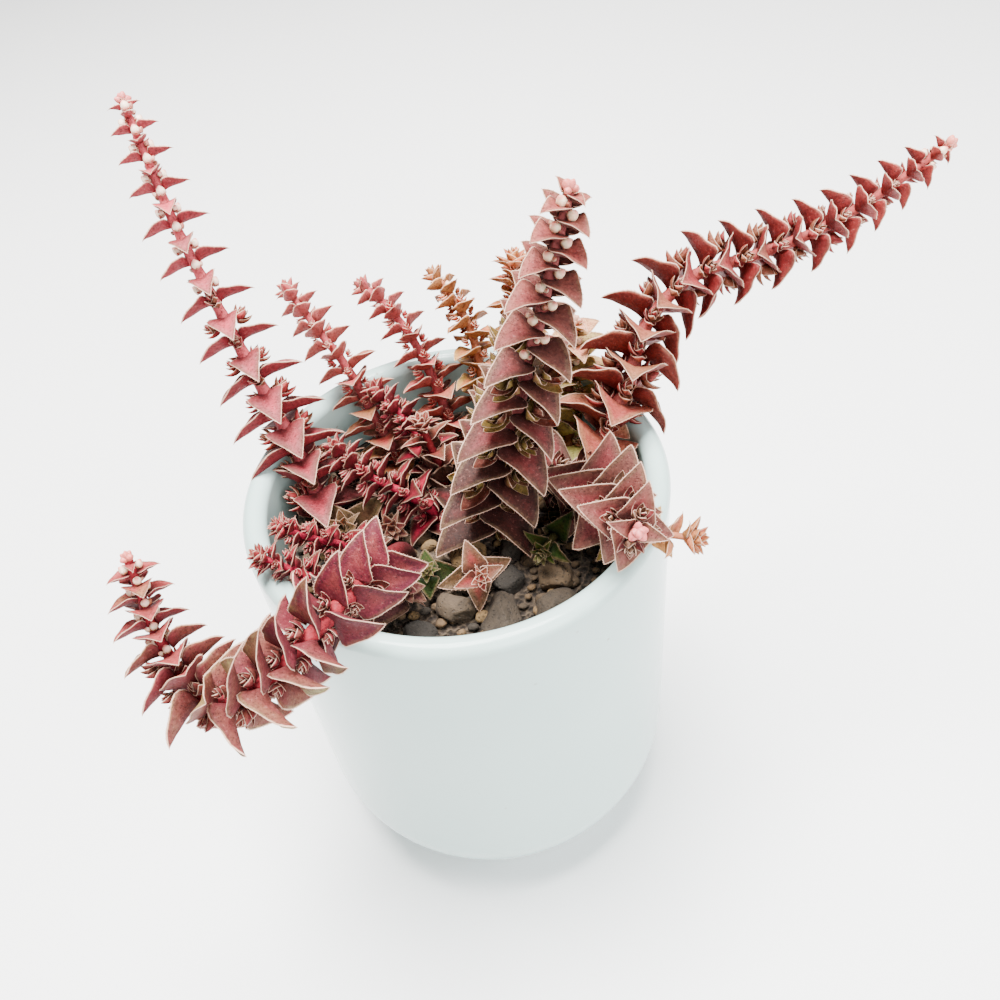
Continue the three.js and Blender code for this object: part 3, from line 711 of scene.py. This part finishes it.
def put_buds(bundle, axil, angle, root, size, seed):
    """The buds in one axil: a full one, and a small one beside it."""
    out, side = swung(axil, angle)
    point, forward, _ = axil
    ahead = unit(out * 0.6 + forward * 0.85)
    centre = point + out * (root + size * 0.92) + (side + forward) * size * 0.25
    put_bud(bundle, centre, ahead, size, seed)
    small = size * (0.45 + 0.2 * draw(seed + 9))
    beside = side if draw(seed + 8) < 0.5 else -side
    centre = point + out * (root + small * 0.9) + beside * size * 1.3 + forward * size * 0.1
    put_bud(bundle, centre, unit(ahead + beside * 0.9), small, seed + 6, small=1)


def put_tip_buds(bundle, line, size, seed):
    """The tuft of small buds that ends a flowering stem."""
    tip = line.at(line.length - 0.6)
    for i in range(TIP_BUDS):
        spread = 0.2 + 0.8 * i / (TIP_BUDS - 1)
        away = unit(swung(tip, i * GOLDEN_ANGLE)[0] * spread + tip[1] * (1.1 - spread))
        small = size * (0.66 + 0.3 * draw(seed + i))
        put_bud(bundle, tip[0] + away * size, away, small, seed * 77 + i, blush=1.1)


STALK_SIDES = 12


def put_stalk(bundle, line, radius, nodes):
    """The stalk itself, a little thicker where each pair of leaves grows from it."""
    count = max(12, int(line.length * 1.2))
    turns = np.linspace(0, 2 * math.pi, STALK_SIDES, endpoint=False)
    rings = []
    for i in range(count + 1):
        distance = line.length * 0.995 * i / count
        point, forward, out = line.at(distance)
        near = min(abs(distance - node) for node in nodes)
        size = along(radius, i / count) * (0.8 + 0.12 * math.exp(-(near**2)))
        across = np.cross(forward, out)
        rings.append([point + (out * math.cos(t) + across * math.sin(t)) * size for t in turns])
    skin, faces = lofted(np.array(rings), line.at(line.length)[0])
    height = np.append(np.repeat(np.linspace(0, 1, count + 1), STALK_SIDES), 1)
    bundle.put(skin, faces, rim=1, reach=0.4, stalk=1, height=height)


def pigment(red, green, blue):
    """The paint that shows as this screen colour under the studio's bright lamps."""
    paint = [0.78 * share**1.45 for share in colour(red, green, blue)]
    grey = sum(paint) / 3
    red, green, blue = (max(grey + (share - grey) * 1.08, 0.004) for share in paint)
    return red, green, blue * 1.25


def leaf_finish(name, tones, flush, under, stalk, young, band=(146, 126, 98), margin=0.85,
                heights=(0, 0.5, 1), sheen=0.26):
    """The skin of leaves and stalk, from the old leaves at the foot to the young ones at the tip."""
    leaf = Finish(name, Subsurface_Weight=0.08, Subsurface_Radius=(1, 0.35, 0.25),
                  Subsurface_Scale=1.2 * MM, Specular_IOR_Level=sheen)
    height, rim, reach, chance = (leaf.mark(mark) for mark in ("height", "rim", "reach", "chance"))
    blotch = leaf.grain(2.6 * MM, 4, 0.6)
    fine = leaf.grain(0.6 * MM, 4, 0.7)
    patch = blotch - 0.5
    speck = fine - 0.5
    luck = chance - 0.5
    stops = [(place, pigment(*shade)) for place, shade in zip(heights, tones)]
    tone = leaf.ramp(height + (patch * 0.35 + luck * 0.35), *stops)
    flushed = leaf.between(rim + patch * 2, 0.8, 2.4) * leaf.between(reach, 0.05, 0.4)
    flushed = flushed * leaf.between(chance + blotch * 0.8, 0.4, 1.1)
    tone = leaf.mix(flushed * 0.6, tone, pigment(*flush))
    banded = leaf.between(rim + patch * 1.6 + speck * 0.6 + luck * 0.6, 0.9, 0.3)
    tone = leaf.mix(banded * 0.45, tone, pigment(*band))
    # Painted shade: the foot of each leaf, down in the axil, takes the dark underside colour as if it lay
    # in shadow. The underside's dark tone is the leaf's own colour.
    painted_axil_shade = leaf.between(reach + patch * 0.3, 0.35, 0.05)
    for underside_and_axil_shade in (painted_axil_shade * 0.65, leaf.mark("under") * 0.8):
        tone = leaf.mix(underside_and_axil_shade, tone, pigment(*under))
    young_tone = leaf.mix(leaf.between(chance + patch, 0.3, 0.8), *(pigment(*shade) for shade in young))
    tone = leaf.mix(leaf.mark("young") * 0.85, tone, young_tone)
    stalk_tone = leaf.ramp(height, (0.1, pigment(*stalk[0])), (0.5, pigment(*stalk[1])))
    tone = leaf.mix(leaf.mark("stalk"), tone, stalk_tone)
    dark = leaf.mix(1.0, tone, (0.34, 0.25, 0.25), "MULTIPLY")
    spots = leaf.between(leaf.cells(0.42 * MM), 0.36, 0.16) * leaf.between(leaf.grain(3 * MM), 0.32, 0.55)
    flecks = leaf.between(leaf.cells(0.55 * MM), 0.2, 0.1) * leaf.between(leaf.grain(2 * MM), 0.5, 0.6)
    tone = leaf.mix(leaf.between(fine, 0.42, 0.7) * 0.7 + spots * 0.7, tone, dark)
    light_grain = leaf.between(fine, 0.42, 0.26) * 0.45 + flecks * 0.3
    tone = leaf.mix(light_grain * margin, tone, pigment(206, 166, 150))
    pale = leaf.between(rim + speck * 0.1, 0.2, 0.07)
    tone = leaf.mix(pale * margin, tone, colour(222, 180, 158))
    skin = fine + leaf.grain(1.5 * MM, 2) * 0.8 - spots * 0.5
    return leaf.use(
        Base_Color=tone,
        Roughness=0.55 + blotch * 0.2 + pale * 0.15,
        Normal=leaf.bump(skin, 0.6, 0.25 * MM),
    )


def bud_finish(name, petal, tip, sepal):
    """The skin of buds: waxy white petals that are pink at the top, and darker sepals."""
    bud = Finish(name, Subsurface_Weight=0.35, Subsurface_Radius=(1, 0.5, 0.4), Subsurface_Scale=0.8 * MM)
    rise = bud.mark("petal")
    shade = bud.grain(0.9 * MM, 3)
    closed = bud.between(bud.mark("chance"), 0.45, 0.75)
    tone = bud.mix(bud.between(rise + shade * 0.5, 0.75, 1.35) * 0.8, colour(*petal), pigment(*tip))
    unripe = bud.mark("small") * (closed * 0.55 + 0.35)
    for dull in (bud.between(rise, 0.15, -0.9) * 0.75, unripe, bud.mark("sepal") * 0.9):
        tone = bud.mix(dull, tone, pigment(*sepal))
    tone = bud.mix(shade * 0.2, tone, colour(*tip))
    return bud.use(
        Base_Color=tone,
        Roughness=0.4 + shade * 0.2,
        Normal=bud.bump(bud.grain(0.4 * MM, 2), 0.2, 0.15 * MM),
    )


LAST_PAIR_CUT = 0.75
NEST_HEIGHT = 0.22
LEAST_ROSETTE = 1
HEAD_LEAVES = 12


def grow_stem(name, slot, skin, buds=None, *, seed, route, pairs, gap, radius, leaf, lean, broad, turn=0,
              low=3, curl=30, droop=(0, 0, 0, 0), tip_spread=1, recurve=0.5, fold=0.13,
              rosette=(2, 0, 0), rosette_pairs=5, buds_from=99, bud_size=1, head_leaves=0):
    """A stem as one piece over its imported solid, and its buds as another."""
    line = StemLine(route)
    gaps = [along(gap, i / (pairs - 1)) for i in range(pairs)]
    start = SOIL_TOP - STEM_FOOT + low
    stretch = (line.length - start) / sum(gaps)
    packed = tree_of([vertex.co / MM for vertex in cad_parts[name].data.vertices])
    green = Bundle(rim=0, under=0, reach=0.5, chance=0.5, young=0, stalk=0)
    flowers = Bundle(petal=-1, sepal=0, small=0)
    nodes = []
    leaves = []
    nests = []
    for i in range(pairs):
        share = i / (pairs - 1)
        step = gaps[i] * stretch
        nodes.append(start + step * ROOT_SHARE / 2)
        place = line.at(nodes[-1])
        axil = line.at(start + step * (1 + ROOT_SHARE) / 2)
        start += step
        length = along(leaf, share)
        own = SimpleNamespace(
            length=length,
            width=length * broad * along((1, 1, tip_spread), share) * min(1, (1 - share) * 6 + 0.55),
            cut=LAST_PAIR_CUT if buds and i == pairs - 1 else 1,
            thickness=max(0.7, LEAF_THICKNESS * min(1, length / 9)),
            curl=math.radians(curl),
            root=along(radius, share) * 0.7,
            recurve=recurve,
            fold=fold,
        )
        for row in range(i % 2, 4, 2):
            own.lean = math.radians(along(lean, share) + droop[row])
            angle = math.radians(turn + 90 * row)
            own_seed = seed * 1000 + i * 10 + row * 3
            misses = {fit: packed.find(packed_tip(place, angle, own, fit))[2] for fit in LEAF_FITS}
            fit = min(misses, key=misses.get)
            if misses[fit] >= FIT_TOLERANCE:
                fit = CROWDED_FIT
            leaves.append((share, put_leaf(green, place, angle, own, fit, own_seed, height=share)))
            size = along(rosette, share) * (0.8 + 0.4 * draw(own_seed + 6))
            if i == pairs - 1:
                continue
            if i >= buds_from:
                put_buds(flowers, axil, angle, own.root, min(bud_size, step * 0.5), own_seed + 4)
            elif size > LEAST_ROSETTE:
                root = axil[0] + swung(axil, angle)[0] * (own.root + size * NEST_HEIGHT)
                nest = ((root, *axil[1:]), angle, size, rosette_pairs, own_seed + 4)
                nests.append((len(leaves) - 1, share, nest))
    put_stalk(green, line, radius, nodes)
    skins = tree_of([point for _, grown in leaves for point in grown[0][:, : len(ABOVE)].reshape(-1, 3)])
    for owner, (share, grown) in enumerate(leaves):
        put_teeth(green, skins, owner, *grown, height=share)
    for owner, share, nest in nests:
        put_rosette(green, *nest, skins=skins, owner=owner, height=share)
    for i in range(head_leaves or (0 if buds else HEAD_LEAVES)):
        share = i / (HEAD_LEAVES - 1)
        place = line.at(line.length - 1.6 + 1.2 * share)
        put_young_leaf(green, place, math.radians(turn) + i * GOLDEN_ANGLE, leaf[2] * (1.1 - 0.4 * share),
                       1 - 0.75 * share, 0.25, seed * 31 + i, young=0.15, height=1)
    pieces = [green.piece(name + "_leaves", skin)]
    if buds:
        put_tip_buds(flowers, line, bud_size, seed)
        pieces.append(flowers.piece(name + "_buds", buds))
    for piece in pieces:
        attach(piece, "root")
        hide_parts(name)


grow_stem(
    "stem_centre_tall", "leaf_mauve",
    leaf_finish(
        "leaf_centre", tones=((92, 60, 48), (136, 92, 80), (182, 124, 108)), flush=(150, 66, 70),
        under=(92, 38, 38), stalk=((96, 52, 48), (176, 112, 104)), young=((156, 138, 84), (134, 84, 66)),
    ),
    bud_finish("bud_centre", (255, 228, 192), (216, 66, 88), (150, 104, 66)), seed=11,
    route=((5, -2, 83), (8, -5, 100), (14.3, -7, 122), (19, -8, 140), (23.3, -8, 156)),
    pairs=23, low=4, gap=(4.6, 3.6, 1.7), radius=(1.9, 1.5, 0.8), turn=33,
    leaf=(14, 9, 4), lean=(80, 74, 56), curl=42, broad=0.86, droop=(0, -10, -26, 0), tip_spread=1.45,
    rosette=(5.6, 5.4, 3.6), rosette_pairs=7, buds_from=11, bud_size=0.8,
)


# The tall left stem leans out over the rim. Its leaves are narrower and redder, its stalk pink, and
# its upper half carries a white bud with a small one beside it in each axil.
grow_stem(
    "stem_left_tall", "leaf_red",
    leaf_finish(
        "leaf_left_tall", tones=((150, 108, 98), (188, 121, 117), (234, 140, 136)),
        flush=(212, 99, 110), under=(170, 80, 84), stalk=((150, 84, 84), (222, 130, 128)),
        young=((150, 106, 78), (186, 90, 88)),
    ),
    bud_finish("bud_left_tall", (254, 230, 206), (222, 84, 98), (176, 112, 84)), seed=12,
    route=((-27, 5, 84), (-29, 10, 97), (-36, 21, 116), (-43, 33, 134), (-47, 43, 146), (-50, 51, 153)),
    pairs=26, low=4, gap=(3.2, 4, 2.1), radius=(1.8, 1.4, 0.8), turn=16,
    leaf=(11.5, 7.2, 3.4), lean=(84, 88, 66), curl=22, broad=0.88, droop=(26, 0, 0, 0),
    rosette=(4, 3, 2.4), buds_from=13, bud_size=0.8,
)


# The long right stem rises from the back right and arches far over the rim. Its leaves curl back
# in even pairs, salmon above and wine red beneath.
grow_stem(
    "stem_right_long", "leaf_salmon",
    leaf_finish(
        "leaf_right_long", tones=((180, 134, 104), (172, 108, 98), (218, 136, 118)),
        flush=(170, 72, 78), under=(146, 40, 48), stalk=((120, 70, 58), (188, 108, 98)),
        young=((158, 112, 84), (160, 76, 74)),
    ),
    bud_finish("bud_right_long", (244, 224, 192), (226, 120, 112), (160, 116, 70)), seed=13,
    route=(
        (22, 4, 84), (29, 7, 95), (35, 11, 104), (40, 18, 112), (49, 22, 118),
        (61, 22, 121), (73, 23, 124), (86, 27, 128), (98, 31, 133),
    ),
    pairs=28, low=17, gap=(3.6, 3.3, 2.4), radius=(1.9, 1.5, 0.8), turn=-20,
    leaf=(11.5, 8.2, 3.4), lean=(82, 86, 66), broad=1.25, droop=(0, 14, 0, 0),
    fold=0.16, recurve=0.7, rosette=(4.6, 3.6, 0), buds_from=25, bud_size=0.8,
)


# The front left stem hangs over the rim and turns up again at its end. Its leaves stand up in a
# comb on the far side. They are crimson at the rim, olive at the bend and redder at the tip.
grow_stem(
    "stem_front_left", "leaf_wine",
    leaf_finish(
        "leaf_front_left", tones=((126, 48, 68), (178, 172, 116), (186, 106, 100)),
        flush=(166, 98, 90), under=(148, 80, 84), stalk=((80, 40, 40), (186, 82, 88)),
        young=((140, 84, 72), (146, 66, 72)), band=(142, 112, 88), heights=(0.3, 0.58, 0.8),
    ),
    bud_finish("bud_front_left", (252, 226, 198), (220, 74, 84), (170, 122, 72)), seed=14,
    route=(
        (-11, -6, 84), (-13, -15, 94), (-17, -27, 101), (-23, -35, 102), (-32, -41, 98),
        (-40, -42, 96), (-45, -38, 98), (-49, -32, 103), (-50, -28, 109), (-50, -26, 115),
    ),
    pairs=28, low=24, gap=(3, 2.9, 2.2), radius=(2, 1.6, 0.8), turn=75,
    leaf=(8.5, 10.8, 3.2), lean=(80, 84, 58), curl=34, broad=0.92, droop=(8, 8, 0, 0), tip_spread=1.35,
    rosette=(2.6, 3.2, 2.6), buds_from=19, bud_size=0.65,
)


# The front right stem leans towards the viewer. It has the broadest mauve leaves, set close, and
# ends in a head with a few buds.
grow_stem(
    "stem_front_right", "leaf_mauve",
    leaf_finish(
        "leaf_front_right", tones=((120, 88, 72), (142, 98, 84), (158, 112, 98)),
        flush=(160, 78, 82), under=(96, 44, 46), stalk=((120, 70, 66), (160, 88, 84)),
        young=((132, 104, 80), (140, 72, 72)),
    ),
    bud_finish("bud_front_right", (246, 216, 200), (216, 66, 84), (160, 96, 80)), seed=15,
    route=((17, 7, 84), (20.5, 1.5, 90), (26, -12, 99), (27, -23, 106), (28, -33, 112)),
    pairs=12, low=5, gap=(3.8, 3.2, 1.6), radius=(1.9, 1.5, 0.8), turn=-8,
    leaf=(11, 10.5, 6.5), lean=(70, 66, 50), curl=32, broad=0.98,
    rosette=(4.2, 3.8, 3), buds_from=11, bud_size=0.9,
)


# Five stems stand at the back: an olive one on the right, two red ones leaning left, and two
# orange ones between them, all with small leaves on a thin stalk.
# Painted light: all the olive stem's leaf colours are lighter than its own olive, to make up for the shadow
# that the tall middle stem casts on it.
grow_stem(
    "stem_rear_right", "leaf_olive",
    leaf_finish(
        "leaf_rear_right", tones=((204, 206, 136), (214, 198, 138), (228, 180, 148)),
        flush=(214, 140, 122), under=(186, 164, 104), stalk=((130, 110, 72), (180, 122, 92)),
        young=((150, 142, 86), (176, 112, 88)),
    ),
    bud_finish("bud_rear_right", (232, 212, 188), (206, 146, 116), (160, 124, 70)), seed=16,
    route=((24, 18, 83), (25, 21, 98), (27, 21, 113)),
    pairs=11, gap=(3.4, 3.2, 2), radius=(1.5, 1.2, 0.7), turn=30,
    leaf=(10.5, 10, 4.6), lean=(70, 68, 50), broad=1,
    rosette=(2.6, 2.2, 2.2), buds_from=6, bud_size=0.7,
)

REAR_HABIT = dict(
    gap=(3.2, 2.8, 1.5), radius=(1.4, 1.2, 0.8), leaf=(8.6, 5.8, 3.4), lean=(74, 74, 56),
    rosette=(2.4, 1.8, 1.8), bud_size=0.6,
)
rear_red_skin = leaf_finish(
    "leaf_rear_red", tones=((176, 136, 96), (208, 142, 124), (222, 130, 128)),
    flush=(208, 90, 100), under=(182, 116, 106), stalk=((150, 96, 86), (200, 116, 112)),
    young=((204, 98, 98), (212, 112, 106)), band=(186, 146, 112),
)
rear_red_buds = bud_finish("bud_rear_red", (236, 206, 196), (220, 136, 132), (180, 92, 88))
grow_stem(
    "stem_rear_left", "leaf_red", rear_red_skin, rear_red_buds, seed=17,
    route=((-12, 20, 83), (-15, 23, 94), (-19, 28, 104), (-23, 33, 109), (-29, 42, 115)),
    pairs=16, turn=10, curl=24, broad=1.2, buds_from=13, head_leaves=12, **REAR_HABIT,
)
grow_stem(
    "stem_rear_middle", "leaf_red", rear_red_skin, rear_red_buds, seed=18,
    route=((0, 19, 83), (-1, 25, 94), (-5, 32, 105), (-10, 38, 111), (-14, 42, 113)),
    pairs=15, turn=20, curl=24, broad=1.2, buds_from=11, head_leaves=12, **REAR_HABIT,
)

rear_orange_skin = leaf_finish(
    "leaf_rear_orange", tones=((178, 186, 100), (206, 164, 112), (214, 140, 108)),
    flush=(208, 124, 98), under=(186, 146, 100), stalk=((150, 158, 92), (196, 142, 108)),
    young=((206, 130, 96), (196, 112, 88)), band=(190, 166, 112),
)
grow_stem(
    "stem_rear_orange", "leaf_orange", rear_orange_skin,
    bud_finish("bud_rear_orange", (234, 208, 186), (216, 140, 112), (170, 116, 70)), seed=19,
    route=((9, 19, 83), (8, 23, 95), (7, 29, 107), (4, 34, 113), (1, 38, 116)),
    pairs=15, turn=40, curl=28, broad=1.25, buds_from=12, head_leaves=14, **REAR_HABIT,
)
grow_stem(
    "stem_behind_centre", "leaf_orange", rear_orange_skin, seed=20,
    route=((15, 20, 83), (15, 24, 97), (16, 29, 110), (17, 33, 120)),
    pairs=14, low=4, gap=(3.4, 3, 1.3), radius=(1.3, 1.1, 0.6),
    leaf=(8, 6.4, 4.4), lean=(74, 74, 54), curl=28, broad=1.15,
    rosette=(2, 1.6, 1.6), head_leaves=16,
)


# Four young shoots lean left inside the pot and over its left rim. Their heads are rosettes of
# small leaves, deep pink where the light reaches them.
pink_skin = leaf_finish(
    "leaf_shoot_pink", tones=((108, 44, 50), (152, 62, 70), (188, 82, 86)),
    flush=(214, 72, 104), under=(122, 44, 56), stalk=((150, 52, 74), (196, 76, 98)),
    young=((170, 70, 82), (184, 84, 92)), margin=0.55,
)
INNER_HABIT = dict(leaf=(8, 5.6, 3.8), lean=(66, 64, 48), broad=0.95, rosette=(2.4, 2.6, 2.2))
grow_stem(
    "shoot_inner_left", "leaf_pink", pink_skin, seed=21,
    route=((-4, 2, 83), (-9, 2, 91), (-16, 4, 96), (-22, 9, 100)),
    pairs=14, gap=(2.6, 2.1, 1.3), radius=(1.3, 1, 0.6), turn=45, **INNER_HABIT,
)
grow_stem(
    "shoot_inner_rear", "leaf_pink", pink_skin, seed=22,
    route=((-3, 13, 83), (-6, 15, 93), (-9, 18, 98), (-14, 22, 102)),
    pairs=12, gap=(2.6, 2.2, 1.4), radius=(1.2, 1, 0.6), **INNER_HABIT,
)
for name, seed, turn, route in (
    ("shoot_left_upper", 23, 0, ((-17, -7, 83), (-21, -8, 90), (-27, -9, 95), (-32, -9, 99))),
    ("shoot_left_lower", 24, 45, ((-20, -15, 83), (-24, -17, 91), (-29, -18, 97), (-34, -18, 102))),
):
    grow_stem(
        name, "leaf_pink", pink_skin, seed=seed, route=route, turn=turn,
        pairs=11, gap=(2.6, 2.1, 1.3), radius=(1.1, 0.9, 0.6),
        leaf=(7, 4.8, 3.2), lean=(66, 64, 48), broad=0.9, rosette=(2.2, 2.3, 2),
    )


# Short shoots fill the middle and the front: wine-red ones in the light, and olive ones low down
# or in the shade of the larger stems. One orange shoot reaches over the right rim.
wine_skin = leaf_finish(
    "leaf_shoot_wine", tones=((120, 100, 68), (134, 102, 76), (158, 96, 82)),
    flush=(166, 64, 72), under=(96, 56, 46), stalk=((110, 56, 54), (180, 80, 84)),
    young=((168, 82, 74), (190, 64, 74)),
)
grow_stem(
    "shoot_centre_left", "leaf_wine", wine_skin, seed=25,
    route=((-2, 7, 83), (-3, 8, 93), (-5, 10, 102)),
    pairs=7, gap=(2.8, 2.8, 2), radius=(1.3, 1.1, 0.7), turn=20,
    leaf=(11, 8.5, 3.8), lean=(66, 62, 48), broad=0.8, rosette=(2.4, 0, 0),
)
grow_stem(
    "shoot_front_middle", "leaf_wine", wine_skin, seed=26,
    route=((1, -13, 83), (2, -17, 88), (3, -23, 94)),
    pairs=5, gap=(2.6, 2.4, 1.6), radius=(1.2, 1, 0.6), turn=20,
    leaf=(7.5, 6.5, 2.4), lean=(70, 66, 48), curl=35, broad=0.78, rosette=(1.6, 0, 0),
)

olive_skin = leaf_finish(
    "leaf_shoot_olive", tones=((60, 78, 28), (72, 90, 34), (90, 104, 44)), flush=(96, 84, 48),
    under=(44, 50, 24), stalk=((66, 70, 38), (84, 80, 46)), young=((92, 110, 44), (70, 88, 34)),
    margin=0.15, sheen=0.1,
)
grow_stem(
    "shoot_front_green", "leaf_olive", olive_skin, seed=27,
    route=((-7, -12, 83), (-7, -14, 86), (-7, -16, 90)),
    pairs=4, low=2, gap=(1.8, 1.8, 1.4), radius=(1.1, 0.9, 0.6),
    leaf=(6.5, 5.5, 2.4), lean=(70, 66, 48), curl=35, broad=1.05, rosette=(1.2, 0, 0),
)
grow_stem(
    "shoot_under_right", "leaf_olive", olive_skin, seed=28,
    route=((19, -4, 83), (18, -9, 88), (14, -17, 91)),
    pairs=6, gap=(2.6, 2.4, 1.6), radius=(1.3, 1.1, 0.7), turn=45,
    leaf=(9, 8, 3), lean=(60, 56, 44), curl=35, broad=0.78, rosette=(1.8, 0, 0),
)
grow_stem(
    "shoot_over_right_rim", "leaf_orange", rear_orange_skin, seed=29,
    route=((25, -9, 83), (28, -17, 94), (32, -25, 102), (38, -29, 104)),
    pairs=7, low=10, gap=(3, 2.2, 1.3), radius=(1.2, 1, 0.6), turn=45,
    leaf=(6, 5.8, 4), lean=(64, 62, 48), broad=0.78, rosette=(1.4, 0, 0),
)


# Four low rosettes at the left are old growth: large leaves close to the gravel, dull and brown
# or olive, that were there before the stems rose over them.
grow_stem(
    "shoot_low_left", "leaf_olive",
    leaf_finish(
        "leaf_low_olive", tones=((92, 80, 54), (112, 96, 70), (126, 106, 80)), flush=(110, 78, 62),
        under=(70, 58, 40), stalk=((70, 62, 40), (84, 72, 50)), young=((112, 104, 66), (100, 86, 58)),
        margin=0.25, sheen=0.1,
    ),
    seed=30,
    route=((-20, 1, 83), (-21, -1, 87), (-22, -4, 91)),
    pairs=4, gap=(2.4, 2.4, 2), radius=(1.4, 1.1, 0.7), turn=30,
    leaf=(10, 8.5, 4), lean=(62, 56, 44), curl=50, broad=0.85,
)
grow_stem(
    "shoot_low_middle", "leaf_wine",
    leaf_finish(
        "leaf_low_wine", tones=((84, 54, 48), (104, 64, 58), (120, 76, 70)), flush=(118, 58, 58),
        under=(68, 36, 34), stalk=((84, 48, 42), (100, 56, 50)), young=((120, 72, 62), (112, 60, 54)),
        margin=0.25, sheen=0.1,
    ),
    seed=31,
    route=((-14, 0, 83), (-14, -2, 87), (-13, -5, 90)),
    pairs=4, gap=(2.4, 2.4, 2), radius=(1.4, 1.1, 0.7), turn=60,
    leaf=(9, 8, 3.5), lean=(60, 54, 40), curl=50, broad=0.85,
)

low_mauve_skin = leaf_finish(
    "leaf_low_mauve", tones=((90, 62, 58), (112, 78, 72), (128, 90, 84)), flush=(126, 68, 68),
    under=(74, 44, 42), stalk=((84, 56, 52), (110, 70, 66)), young=((128, 92, 80), (112, 72, 64)),
    margin=0.25, sheen=0.1,
)
grow_stem(
    "shoot_low_front", "leaf_mauve", low_mauve_skin, seed=32,
    route=((-13, -15, 83), (-12, -17, 86), (-11, -19, 89)),
    pairs=3, gap=(2.2, 2.2, 1.8), radius=(1.3, 1.1, 0.7), turn=55,
    leaf=(12, 9, 4.5), lean=(62, 54, 40), curl=45, broad=0.7,
)
grow_stem(
    "shoot_low_rear", "leaf_mauve", low_mauve_skin, seed=33,
    route=((-20, 13, 83), (-21, 14, 88), (-22, 16, 92)),
    pairs=4, gap=(2.6, 2.6, 2), radius=(1.4, 1.1, 0.7), turn=10,
    leaf=(10.5, 9, 4), lean=(62, 56, 44), curl=45, broad=0.85,
)
